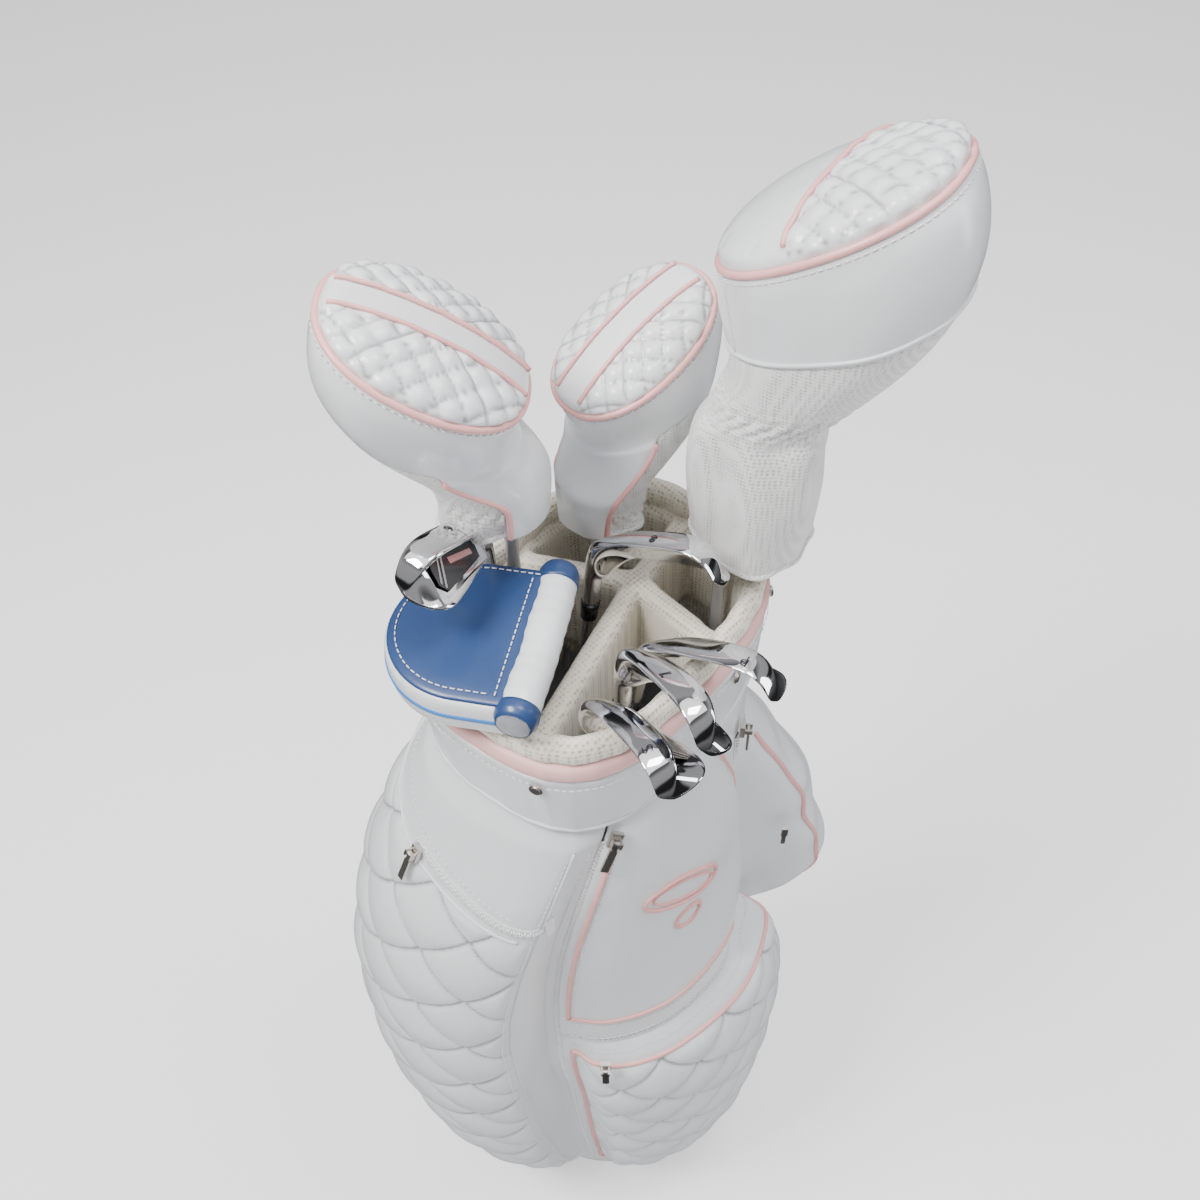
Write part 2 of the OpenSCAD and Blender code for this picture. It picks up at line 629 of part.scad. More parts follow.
putter_neck = 34;
putter_shift = 2;
module putter_head() {
    color(chrome) on_club(putter_at, putter_at[4]) difference() {
        union() {
            translate([putter_shift, -12, -26]) linear_extrude(24) mallet_outline(50, 84);
            translate([0, 0, -26 - putter_neck]) cylinder(r = 6.4, h = putter_neck + 2, $fn = 32);
        }
        translate([0, 0, -27 - putter_neck]) cylinder(r = steel_r + glue_gap, h = socket_len + 1, $fn = 32);
    }
}

module putter_shaft() {
    club_shaft(putter_at, steel_r, 26 + putter_neck - socket_len + 1, chrome);
}

module putter_grip() {
    color(rubber) on_club(putter_at, 0) difference() {
        translate([-11, -11, 0]) cube([22, 22, grip_len]);
        translate([0, 0, 4 - glue_gap]) cylinder(r = 7 + glue_gap, h = grip_len, $fn = 32);
    }
}

module putter_cover() {
    pad = 5;
    half = 61;
    depth = 114;
    face_pad = 10;
    color(navy) on_club(putter_at, putter_at[4]) difference() {
        translate([putter_shift - 4, -12 - face_pad, -28]) linear_extrude(28 + pad) mallet_outline(half, depth);
        translate([putter_shift, -14, -30]) linear_extrude(30) mallet_outline(52, 88);
    }
}

base_cup();
stay_rods();
main_tube();
top_collar();
rim_band();
rim_pad();
club_divider();
upper_pocket();
ball_pocket();
left_pocket();
side_pouch();
zip_chains();
carry_handle();
hood_snaps();
strap_rings();
shoulder_strap();
strap_hooks();
ball_zip_slider();
ball_zip_tab();
upper_zip_slider();
upper_zip_tab();
long_zip_slider();
long_zip_tab();
small_zip_slider();
small_zip_tab();
pouch_zip_pull();
driver_head();
driver_shaft();
driver_grip();
driver_cover();
driver_sock();
fairway_head();
fairway_shaft();
fairway_grip();
fairway_cover();
fairway_sock();
hybrid_head();
hybrid_shaft();
hybrid_grip();
hybrid_cover();
hybrid_sock();
putter_head();
putter_shaft();
putter_grip();
putter_cover();
iron_7_head();
iron_7_shaft();
iron_7_grip();
iron_8_head();
iron_8_shaft();
iron_8_grip();
iron_9_head();
iron_9_shaft();
iron_9_grip();
iron_p_head();
iron_p_shaft();
iron_p_grip();
iron_s_head();
iron_s_shaft();
iron_s_grip();
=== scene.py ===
import json
import math

import bmesh
import bpy
import numpy as np
from mathutils import Matrix, Vector
from mathutils.bvhtree import BVHTree


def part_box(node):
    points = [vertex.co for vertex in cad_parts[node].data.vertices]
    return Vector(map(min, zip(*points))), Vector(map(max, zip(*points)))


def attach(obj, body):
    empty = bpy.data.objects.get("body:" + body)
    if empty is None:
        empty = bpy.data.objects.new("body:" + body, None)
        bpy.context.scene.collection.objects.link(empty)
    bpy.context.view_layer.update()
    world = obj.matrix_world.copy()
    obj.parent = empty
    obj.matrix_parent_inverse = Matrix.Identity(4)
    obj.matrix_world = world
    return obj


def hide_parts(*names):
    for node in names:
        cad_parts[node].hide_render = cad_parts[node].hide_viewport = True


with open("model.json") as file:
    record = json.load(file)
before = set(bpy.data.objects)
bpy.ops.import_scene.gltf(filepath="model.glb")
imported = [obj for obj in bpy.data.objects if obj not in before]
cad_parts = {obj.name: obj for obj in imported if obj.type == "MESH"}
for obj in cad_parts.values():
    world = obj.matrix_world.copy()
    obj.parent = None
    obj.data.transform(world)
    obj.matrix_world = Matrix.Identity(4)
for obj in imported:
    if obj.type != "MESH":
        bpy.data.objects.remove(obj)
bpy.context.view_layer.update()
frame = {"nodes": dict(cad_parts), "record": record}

NODES = frame["nodes"]
JOINTS = {j["name"]: j for j in frame["record"]["behaviour"]["joints"]}
BODY_OF = {n: b for b, ns in frame["record"]["behaviour"]["bodies"].items() for n in ns}
rng = np.random.default_rng(7)

# ---------------------------------------------------------------- materials


def material(name, color, rough, metal=0.0, coat=0.0, sheen=0.0, tint=0.0, bumps=(), weave=None, seams=0.0):
    """A principled material. bumps: (noise scale, strength, distance). weave: (pitch, strength, dark colour)."""
    m = bpy.data.materials.new(name)
    m.use_nodes = True
    nt = m.node_tree
    b = nt.nodes["Principled BSDF"]
    b.inputs["Base Color"].default_value = (*color, 1)
    b.inputs["Roughness"].default_value = rough
    b.inputs["Metallic"].default_value = metal
    b.inputs["Coat Weight"].default_value = coat
    b.inputs["Coat Roughness"].default_value = 0.15
    b.inputs["Sheen Weight"].default_value = sheen
    co = nt.nodes.new("ShaderNodeTexCoord").outputs["Object"]
    normal = None
    if tint:
        n = nt.nodes.new("ShaderNodeTexNoise")
        n.inputs["Scale"].default_value = 14
        n.inputs["Detail"].default_value = 4
        nt.links.new(co, n.inputs["Vector"])
        mix = nt.nodes.new("ShaderNodeMix")
        mix.data_type = "RGBA"
        mix.inputs[6].default_value = (*[c * (1 - tint) for c in color], 1)
        mix.inputs[7].default_value = (*[min(1, c * (1 + tint * 0.4)) for c in color], 1)
        nt.links.new(n.outputs["Fac"], mix.inputs[0])
        nt.links.new(mix.outputs[2], b.inputs["Base Color"])
    if weave:
        pitch, strength, dark = weave
        v = nt.nodes.new("ShaderNodeTexVoronoi")
        v.inputs["Scale"].default_value = 1 / pitch
        v.inputs["Randomness"].default_value = 0.12
        nt.links.new(co, v.inputs["Vector"])
        ramp = nt.nodes.new("ShaderNodeMapRange")
        ramp.inputs[1].default_value = 0.18
        ramp.inputs[2].default_value = 0.5
        nt.links.new(v.outputs["Distance"], ramp.inputs[0])
        mix = nt.nodes.new("ShaderNodeMix")
        mix.data_type = "RGBA"
        mix.inputs[6].default_value = (*dark, 1)
        mix.inputs[7].default_value = (*color, 1)
        nt.links.new(ramp.outputs[0], mix.inputs[0])
        nt.links.new(mix.outputs[2], b.inputs["Base Color"])
        bump = nt.nodes.new("ShaderNodeBump")
        bump.inputs["Strength"].default_value = strength
        bump.inputs["Distance"].default_value = 0.0008
        nt.links.new(ramp.outputs[0], bump.inputs["Height"])
        normal = bump
    # Painted shade: where the mesh's seam attribute is high, the colour is mixed toward seams times the colour. This
    # stands in for shade in the quilting and piping creases.
    if seams:
        at = nt.nodes.new("ShaderNodeAttribute")
        at.attribute_name = "seam"
        dark = nt.nodes.new("ShaderNodeMix")
        dark.data_type = "RGBA"
        dark.inputs[6].default_value = (*color, 1)
        if b.inputs["Base Color"].links:
            nt.links.new(b.inputs["Base Color"].links[0].from_socket, dark.inputs[6])
        dark.inputs[7].default_value = (*[c * seams for c in color], 1)
        nt.links.new(at.outputs["Fac"], dark.inputs[0])
        nt.links.new(dark.outputs[2], b.inputs["Base Color"])
    for scale, strength, dist in bumps:
        n = nt.nodes.new("ShaderNodeTexNoise")
        n.inputs["Scale"].default_value = scale
        n.inputs["Detail"].default_value = 3
        nt.links.new(co, n.inputs["Vector"])
        bump = nt.nodes.new("ShaderNodeBump")
        bump.inputs["Strength"].default_value = strength
        bump.inputs["Distance"].default_value = dist
        nt.links.new(n.outputs["Fac"], bump.inputs["Height"])
        if normal:
            nt.links.new(normal.outputs["Normal"], bump.inputs["Normal"])
        normal = bump
    if normal:
        nt.links.new(normal.outputs["Normal"], b.inputs["Normal"])
    return m


GRAIN = ((1500, 0.16, 0.0004), (30, 0.10, 0.004))
# seams=0.42 paints shade into both leathers: along the quilting and piping creases their colour falls to 42%.
WHITE = material("white_leather", (0.73, 0.75, 0.775), 0.36, coat=0.2, tint=0.03, bumps=GRAIN, seams=0.42)
COVER = material("cover_leather", (0.76, 0.775, 0.80), 0.30, coat=0.3, tint=0.03, bumps=((1300, 0.14, 0.0004), (26, 0.22, 0.006)), seams=0.42)
PINK = material("pink_piping", (0.83, 0.42, 0.40), 0.38, coat=0.2, tint=0.05, bumps=((900, 0.1, 0.0004),))
PINKSOFT = material("pink_band", (0.86, 0.50, 0.48), 0.45, tint=0.05, bumps=GRAIN)
CREAM = material("cream_mesh", (0.80, 0.75, 0.64), 0.85, sheen=0.3, weave=(0.0036, 0.8, (0.55, 0.50, 0.40)), bumps=((40, 0.12, 0.004),))
KNIT = material("white_knit", (0.78, 0.78, 0.775), 0.8, sheen=0.35, weave=(0.0026, 0.7, (0.60, 0.60, 0.59)), bumps=((60, 0.2, 0.004),))
NAVY = material("navy_leather", (0.022, 0.055, 0.165), 0.36, coat=0.25, tint=0.12, bumps=GRAIN)
BLUE = material("blue_stripe", (0.05, 0.22, 0.62), 0.4, tint=0.05, bumps=GRAIN)
THREAD = material("thread", (0.84, 0.84, 0.86), 0.7, tint=0.05, bumps=((2500, 0.4, 0.0003),))
TAPE = material("zip_tape", (0.74, 0.75, 0.77), 0.75, weave=(0.0014, 0.5, (0.55, 0.56, 0.58)))
CHROME = material("chrome", (0.80, 0.80, 0.82), 0.06, metal=1.0, bumps=((9, 0.02, 0.003),))
SATIN = material("satin_steel", (0.55, 0.55, 0.57), 0.26, metal=1.0, bumps=((500, 0.05, 0.0003),))
NICKEL = material("nickel", (0.66, 0.63, 0.58), 0.38, metal=1.0, bumps=((300, 0.08, 0.0004),))
BLACK = material("black_gloss", (0.012, 0.012, 0.015), 0.15, coat=0.5, tint=0.2)
ROSE = material("rose_metal", (0.75, 0.42, 0.40), 0.25, metal=0.8, bumps=((400, 0.1, 0.0003),))
SHAFT = material("graphite_shaft", (0.62, 0.63, 0.66), 0.25, metal=0.35, coat=0.6, tint=0.06)
STEEL = material("steel_shaft", (0.72, 0.72, 0.74), 0.12, metal=1.0, bumps=((6, 0.03, 0.002),))
PEARL = material("pink_paint", (0.86, 0.52, 0.52), 0.2, metal=0.3, coat=1.0, tint=0.06)
RUBBER = material("grip_rubber", (0.78, 0.78, 0.80), 0.7, weave=(0.0022, 0.9, (0.5, 0.5, 0.52)))
PLASTIC = material("base_plastic", (0.80, 0.80, 0.81), 0.45, tint=0.03, bumps=((700, 0.18, 0.0005),))
INK = material("mark_ink", (0.02, 0.02, 0.025), 0.4, tint=0.1)

# ---------------------------------------------------------------- mesh helpers


def make(name, verts, faces, mat, body, node=None, subdiv=0, smooth=True):
    me = bpy.data.meshes.new(name)
    me.from_pydata([tuple(v) for v in verts], [], [tuple(int(i) for i in f) for f in faces])
    bm = bmesh.new()
    bm.from_mesh(me)
    bmesh.ops.recalc_face_normals(bm, faces=bm.faces)
    middle = sum((f.calc_center_median() for f in bm.faces), Vector()) / len(bm.faces)
    if sum((f.calc_center_median() - middle).dot(f.normal) * f.calc_area() for f in bm.faces) < 0:
        bmesh.ops.reverse_faces(bm, faces=bm.faces)
    bm.to_mesh(me)
    bm.free()
    me.update()
    o = bpy.data.objects.new(name, me)
    bpy.context.scene.collection.objects.link(o)
    return finish_piece(o, mat, body, node, subdiv, smooth)


def finish_piece(o, mat, body, node=None, subdiv=0, smooth=True):
    if mat:
        o.data.materials.clear()
        o.data.materials.append(mat)
    if smooth:
        o.data.polygons.foreach_set("use_smooth", [True] * len(o.data.polygons))
    if subdiv:
        s = o.modifiers.new("Subdivision", "SUBSURF")
        s.levels = s.render_levels = subdiv
    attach(o, body)
    if node:
        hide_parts(*([node] if isinstance(node, str) else node))
    return o


# Stores a painted shade mask as the point attribute seam; materials with seams darken their colour by it.
def set_seam_shade(o, values):
    at = o.data.attributes.new("seam", "FLOAT", "POINT")
    at.data.foreach_set("value", np.clip(np.asarray(values, float).ravel(), 0, 1))


def grid_faces(n, m, wrap=True, base=0):
    fs = []
    for i in range(n - 1):
        for j in range(m if wrap else m - 1):
            k = (j + 1) % m
            fs.append((base + i * m + j, base + i * m + k, base + (i + 1) * m + k, base + (i + 1) * m + j))
    return fs


def tube(name, pts, r, mat, body, sides=10, closed=False, flat=1.0, up=None):
    """A tube along points. flat squashes it along its own up direction."""
    P = np.array(pts, float)
    n = len(P)
    T = np.roll(P, -1, 0) - np.roll(P, 1, 0) if closed else np.gradient(P, axis=0)
    T /= np.linalg.norm(T, axis=1)[:, None] + 1e-12
    V = []
    ref = np.array([0, 0, 1.0]) if up is None else None
    for i in range(n):
        u = np.array(up[i], float) if up is not None else ref
        s = np.cross(T[i], u)
        if np.linalg.norm(s) < 1e-4:
            s = np.cross(T[i], [1, 0, 0])
        s /= np.linalg.norm(s)
        w = np.cross(s, T[i])
        rr = r[i] if np.ndim(r) else r
        for k in range(sides):
            c, d = math.cos(2 * math.pi * k / sides), math.sin(2 * math.pi * k / sides)
            V.append(P[i] + rr * (c * s + d * flat * w))
    F = grid_faces(n, sides)
    if closed:
        F += [((n - 1) * sides + j, (n - 1) * sides + (j + 1) % sides, (j + 1) % sides, j) for j in range(sides)]
    else:
        F += [tuple(range(sides))[::-1], tuple((n - 1) * sides + j for j in range(sides))]
    return make(name, V, F, mat, body)


def stitches(name, pts, normals, mat, body, gap=0.0052, length=0.0034, r=0.00045):
    """A row of short raised stitches along a line."""
    P = np.array(pts, float)
    d = np.r_[0, np.cumsum(np.linalg.norm(np.diff(P, axis=0), axis=1))]
    count = int(d[-1] / gap)
    V, F = [], []
    N = np.array(normals, float)
    for i in range(count):
        ends = []
        for q in (i * gap, i * gap + length):
            p = np.array([np.interp(q, d, P[:, k]) for k in range(3)])
            n = np.array([np.interp(q, d, N[:, k]) for k in range(3)])
            ends.append(p + n * 0.0004)
            nn = n / (np.linalg.norm(n) + 1e-9)
        t = ends[1] - ends[0]
        t /= np.linalg.norm(t) + 1e-9
        s = np.cross(t, nn)
        b = len(V)
        for e in ends:
            for a in range(6):
                c, dd = math.cos(a * math.pi / 3), math.sin(a * math.pi / 3)
                V.append(e + r * (c * s + dd * nn))
        F += grid_faces(2, 6, base=b) + [tuple(b + k for k in range(6))[::-1], tuple(b + 6 + k for k in range(6))]
    return make(name, V, F, mat, body) if V else None


def bvh_of(*names):
    V, F = [], []
    for n in names:
        me = NODES[n].data
        b = len(V)
        V += [v.co.copy() for v in me.vertices]
        F += [[b + i for i in p.vertices] for p in me.polygons]
    return BVHTree.FromPolygons(V, F)


def soften(node, name, voxel, inflate, rounds, mat, body, subdiv=1):
    """A soft piece grown from a CAD node: remeshed, swelled and smoothed."""
    o = NODES[node].copy()
    o.data = NODES[node].data.copy()
    o.name = name
    for k in list(o.keys()):
        if k.startswith("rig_"):
            del o[k]
    o.parent = None
    bpy.context.scene.collection.objects.link(o)
    m = o.modifiers.new("r", "REMESH")
    m.mode = "VOXEL"
    m.voxel_size = voxel * 1
    dg = bpy.context.evaluated_depsgraph_get()
    me = bpy.data.meshes.new_from_object(o.evaluated_get(dg))
    o.modifiers.clear()
    o.data = me
    n = len(me.vertices)
    co = np.zeros(n * 3)
    me.vertices.foreach_get("co", co)
    co = co.reshape(-1, 3)
    no = np.zeros(n * 3)
    me.vertices.foreach_get("normal", no)
    no = no.reshape(-1, 3)
    ed = np.zeros(len(me.edges) * 2, int)
    me.edges.foreach_get("vertices", ed)
    ed = ed.reshape(-1, 2)
    deg = np.bincount(ed.ravel(), minlength=n)[:, None]

    def average(x):
        s = np.zeros_like(x)
        for k in range(3):
            s[:, k] = np.bincount(ed[:, 0], x[ed[:, 1], k], n) + np.bincount(ed[:, 1], x[ed[:, 0], k], n)
        return s / np.maximum(deg, 1)

    for _ in range(4):
        no = average(no)
        no /= np.linalg.norm(no, axis=1)[:, None] + 1e-9
    for _ in range(rounds):
        co = 0.4 * co + 0.6 * average(co)
    co += no * inflate
    me.vertices.foreach_set("co", co.ravel())
    me.update()
    return finish_piece(o, mat, body, node, subdiv)


def smooth_rows(R, sa, sz):
    """Gaussian smoothing of a radius grid: wraps in azimuth, holds its ends in height."""
    def kernel(s):
        x = np.arange(-int(3 * s) - 1, int(3 * s) + 2)
        k = np.exp(-x * x / (2 * s * s))
        return k / k.sum()
    out = R
    if sa:
        k = kernel(sa)
        h = len(k) // 2
        pad = np.concatenate([out[:, -h:], out, out[:, :h]], 1)
        out = np.array([np.convolve(row, k, "valid") for row in pad])
    if sz:
        k = kernel(sz)
        h = len(k) // 2
        pad = np.concatenate([np.repeat(out[:1], h, 0), out, np.repeat(out[-1:], h, 0)], 0)
        out = np.array([np.convolve(col, k, "valid") for col in pad.T]).T
    return out


def ease(t):
    t = np.clip(t, 0, 1)
    return t * t * (3 - 2 * t)


def quilt(u, v, size, power=0.42):
    """Height of diamond quilting, 0 on the seams and 1 on the puffs."""
    a = np.abs(np.sin(np.pi * (u + v) / size))
    b = np.abs(np.sin(np.pi * (u - v) / size))
    return (a * b) ** power


def seam_mask(u, v, size, width):
    """1 on the quilting's stitched lines, 0 away from them."""
    a = np.abs(np.sin(np.pi * (u + v) / size)) * size / np.pi
    b = np.abs(np.sin(np.pi * (u - v) / size)) * size / np.pi
    return np.exp(-(np.minimum(a, b) / width) ** 2)


# ---------------------------------------------------------------- bag skin

mm = 0.001
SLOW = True
NA = 900 if SLOW else 360
NZ = 300 if SLOW else 130
z_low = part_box("base_cup")[1].z + 0.002
z_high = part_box("top_collar")[0].z + 0.004
AZ = np.linspace(-180, 180, NA, endpoint=False)
ZS = np.linspace(z_low, z_high, NZ)
front_split = (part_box("upper_pocket")[0].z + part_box("ball_pocket")[1].z) / 2


def ray_grid(tree, azs, zs, reach=0.45):
    R = np.full((len(zs), len(azs)), np.nan)
    for i, z in enumerate(zs):
        for j, a in enumerate(azs):
            s, c = math.sin(math.radians(a)), math.cos(math.radians(a))
            hit = tree.ray_cast(Vector((reach * s, -reach * c, z)), Vector((-s, c, 0)), reach)
            if hit[0] is not None:
                R[i, j] = reach - hit[3]
    return R


tube_R = ray_grid(bvh_of("main_tube"), AZ, ZS)
body_R = ray_grid(bvh_of("main_tube", "upper_pocket", "ball_pocket", "left_pocket"), AZ, ZS)


def closing(R, k):
    """Fills narrow valleys in azimuth so that pockets meet at their seams."""
    grown = np.max([np.roll(R, s, 1) for s in range(-k, k + 1)], 0)
    return np.min([np.roll(grown, s, 1) for s in range(-k, k + 1)], 0)


def closing_z(R, k):
    pad = np.concatenate([np.repeat(R[:1], k, 0), R, np.repeat(R[-1:], k, 0)], 0)
    grown = np.max([pad[s:s + len(R)] for s in range(2 * k + 1)], 0)
    pad = np.concatenate([np.repeat(grown[:1], k, 0), grown, np.repeat(grown[-1:], k, 0)], 0)
    return np.min([pad[s:s + len(R)] for s in range(2 * k + 1)], 0)


body_R = closing(body_R, int(NA * 7 / 360))
body_R = closing_z(body_R, int(round(0.016 / (ZS[1] - ZS[0]))))
body_R = smooth_rows(body_R, NA * 1.7 / 360, 0.006 / (ZS[1] - ZS[0]))
body_R = np.maximum(body_R, tube_R + 0.0015)


def seam_a(z):
    """Azimuth of the long zip seam at a height."""
    zz = np.asarray(z) * 1000
    return np.where(zz > 500, -61 + 20 * (np.maximum(zz - 500, 0) / 290) ** 2, -61 + 7 * (500 - zz) / 430)


def upper_right(z):
    zz = np.asarray(z) * 1000
    return 34 - 22 * (np.abs(zz - 620) / 165) ** 2.4


def ball_right(z):
    zz = np.asarray(z) * 1000
    return 45 + 26 * ease((400 - zz) / 90)


LEFT_END = -157


def quilt_top(a):
    """Height of the left pocket's quilting edge, along the short zip."""
    return 0.722 + (0.692 - 0.722) * (np.asarray(a) + 98) / 36


A2, Z2 = np.meshgrid(AZ, ZS)
S2 = np.radians(A2) * 0.17
edge = 2.2
left_in = ease((A2 - LEFT_END) / edge) * ease((seam_a(Z2) - 9 - A2) / edge) * ease((quilt_top(A2) - 0.010 - Z2) / 0.006) \
    * ease((Z2 - 0.075) / 0.008)
ball_in = ease((A2 - seam_a(Z2) - 5) / edge) * ease((ball_right(Z2) - 3 - A2) / edge) \
    * ease((front_split - 0.020 - Z2) / 0.006) * ease((Z2 - 0.075) / 0.008)
QUILT = 0.074
puff = quilt(S2 + 0.01, Z2, QUILT, 0.38)
quilted = np.maximum(left_in, ball_in)
# The quilting stitch lines both groove the skin and become its painted shade mask.
stitch_groove_and_shade = seam_mask(S2 + 0.01, Z2, QUILT, 0.0019) * quilted
body_R = body_R + 0.0075 * puff * quilted - 0.0025 * quilted - 0.0012 * stitch_groove_and_shade
collar_out = ray_grid(bvh_of("top_collar"), AZ, [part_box("top_collar")[0].z + 0.004])[0]
under = np.minimum(body_R, (collar_out - 0.003)[None, :])
body_R = body_R + (under - body_R) * ease((Z2 - 0.768) / 0.022)
slider_row = body_R[int((0.738 - z_low) / (ZS[1] - ZS[0]))][None, :]
path = ease((5.5 - np.abs(A2 - 38.5)) / 2.5) * ease((Z2 - 0.535) / 0.02) * ease((0.745 - Z2) / 0.004)
body_R += (np.minimum(body_R, slider_row) - body_R) * path
groove = np.exp(-((A2 - seam_a(Z2)) / 1.1) ** 2)
body_R -= 0.004 * groove * ease((0.775 - Z2) / 0.01)
for line_z, depth in ((front_split, 0.0035), (front_split + 0.034, 0.0016)):
    g = np.exp(-((Z2 - line_z) / 0.0028) ** 2) * ease((A2 - seam_a(Z2)) / 3) * ease((ball_right(Z2) - A2) / 3)
    body_R -= depth * g
wrinkle = sum(np.sin(A2 * f1 + Z2 * f2 + p) * w for f1, f2, p, w in
              ((0.11, 31, 0.3, 0.0009), (-0.07, 47, 1.9, 0.0007), (0.19, -22, 4.1, 0.0005)))
body_R += wrinkle * (1 - np.maximum(left_in, ball_in))


def surf(a, z, lift=0.0, R=None):
    """A point on the bag's skin, moved outward by lift."""
    R = body_R if R is None else R
    fa = ((a + 180) / 360 * NA) % NA
    fz = np.clip((z - ZS[0]) / (ZS[-1] - ZS[0]) * (NZ - 1), 0, NZ - 1.001)
    i, j = int(fz), int(fa)
    tz, ta = fz - i, fa - j
    j2 = (j + 1) % NA
    r = (R[i, j] * (1 - ta) + R[i, j2] * ta) * (1 - tz) + (R[i + 1, j] * (1 - ta) + R[i + 1, j2] * ta) * tz
    s, c = math.sin(math.radians(a)), math.cos(math.radians(a))
    return np.array([(r + lift) * s, -(r + lift) * c, z])


# Painted shade: how far the skin's colour is darkened at a point, read from the quilting stitch lines.
def seam_shade_at(a, z):
    i = int(np.clip((z - ZS[0]) / (ZS[-1] - ZS[0]) * (NZ - 1), 0, NZ - 1))
    return stitch_groove_and_shade[i, int(((a + 180) / 360 * NA) % NA)]


def surf_normal(a, z, R=None):
    e, f = 0.6, 0.003
    u = surf(a + e, z, R=R) - surf(a - e, z, R=R)
    v = surf(a, min(z + f, z_high), R=R) - surf(a, max(z - f, z_low), R=R)
    n = np.cross(u, v)
    return n / np.linalg.norm(n)


def skin_piece(name, a0, a1, z0, z1, mat, node=None, inward=0.0025, body="bag"):
    """Part of the bag's skin between two azimuth curves and two heights, with turned-in edges."""
    step_z = ZS[1] - ZS[0]
    rows = max(4, int((z1 - z0) / step_z))
    cols = max(6, int(NA * (a1((z0 + z1) / 2) - a0((z0 + z1) / 2)) / 360))
    V, W = [], []
    for i in range(rows + 1):
        z = z0 + (z1 - z0) * i / rows
        lo, hi = a0(z), a1(z)
        for j in range(cols + 1):
            a = lo + (hi - lo) * j / cols
            p = surf(a, z)
            if i in (0, rows) or j in (0, cols):
                p = surf(a, z, -inward)
            V.append(p)
            W.append(seam_shade_at(a, z))
    o = make(name, V, grid_faces(rows + 1, cols + 1, False), mat, body, node)
    set_seam_shade(o, W)
    return o


const = lambda v: (lambda z: v)
skin_piece("left_pocket_skin", const(LEFT_END), lambda z: float(seam_a(z)) - 0.35, z_low, z_high, WHITE, "left_pocket")
skin_piece("ball_pocket_skin", lambda z: float(seam_a(z)) + 0.35, lambda z: float(ball_right(z)), z_low, front_split - 0.0006,
           WHITE, "ball_pocket")
skin_piece("upper_pocket_skin", lambda z: float(seam_a(z)) + 0.35, lambda z: float(upper_right(z)), front_split + 0.0006, z_high,
           WHITE, "upper_pocket")
skin_piece("side_panel_skin", lambda z: float(ball_right(z) if z < front_split else upper_right(z)), const(360 + LEFT_END),
           z_low, z_high, WHITE, "main_tube")

# side pouch
pouch_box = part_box("side_pouch")
pouch_tree = bvh_of("side_pouch")
PA, PZ = np.linspace(44.5, 99.5, 111 if SLOW else 56), np.linspace(pouch_box[0].z - 0.004, pouch_box[1].z + 0.004, 120 if SLOW else 60)
pouch_R = ray_grid(pouch_tree, PA, PZ)
base_R = np.array([[np.linalg.norm(surf(a, z)[:2]) for a in PA] for z in PZ])
pouch_R = np.where(np.isnan(pouch_R), base_R - 0.002, pouch_R)
kz = np.exp(-np.linspace(-1.5, 1.5, 9) ** 2)
kz /= kz.sum()
for _ in range(2):
    pad = np.pad(pouch_R, ((4, 4), (2, 2)), "edge")
    pouch_R = np.array([np.convolve(c, kz, "valid") for c in pad.T]).T
    pouch_R = (pouch_R[:, :-4] + 4 * pouch_R[:, 1:-3] + 6 * pouch_R[:, 2:-2] + 4 * pouch_R[:, 3:-1] + pouch_R[:, 4:]) / 16
gA, gZ = np.meshgrid(PA, PZ)
depth_f = np.clip((pouch_R - base_R) / 0.09, 0, 1)
pouch_R = pouch_R + (0.003 * np.sin(gZ * 52 + gA * 0.15) + 0.002 * np.sin(gZ * 95 - gA * 0.3 + 1)) * depth_f
Vp = [((r) * math.sin(math.radians(a)), -(r) * math.cos(math.radians(a)), z) for z, row in zip(PZ, pouch_R) for a, r in zip(PA, row)]
make("side_pouch_skin", Vp, grid_faces(len(PZ), len(PA), False), WHITE, "bag", "side_pouch")


def pouch_pt(a, z, lift=0.0):
    fi = np.clip((z - PZ[0]) / (PZ[1] - PZ[0]), 0, len(PZ) - 1.001)
    fj = np.clip((a - PA[0]) / (PA[1] - PA[0]), 0, len(PA) - 1.001)
    i, j, ti, tj = int(fi), int(fj), fi % 1, fj % 1
    r = (pouch_R[i, j] * (1 - tj) + pouch_R[i, j + 1] * tj) * (1 - ti) + (pouch_R[i + 1, j] * (1 - tj) + pouch_R[i + 1, j + 1] * tj) * ti + lift
    return np.array([r * math.sin(math.radians(a)), -r * math.cos(math.radians(a)), z])


def soft_line(P, rounds=12):
    P = np.array(P)
    for _ in range(rounds):
        P[1:-1] = (P[:-2] + 2 * P[1:-1] + P[2:]) / 4
    return P


for k, az in enumerate((54.0, 86.0)):
    tube("pouch_piping_" + "ab"[k], soft_line([pouch_pt(az, z, 0.0015) for z in np.linspace(pouch_box[0].z + 0.02, pouch_box[1].z - 0.012, 80)]),
         0.0021, PINK, "bag")

# ---------------------------------------------------------------- piping and seams on the bag


def on_skin(azs, zs, lift):
    return [surf(float(a), float(z), lift) for a, z in zip(azs, zs)]


def pipe(name, azs, zs, r=0.0021, mat=PINK, lift=0.0008):
    return tube(name, on_skin(azs, zs, lift), r, mat, "bag")


def line(a0, a1, n=80):
    return np.linspace(a0, a1, n)


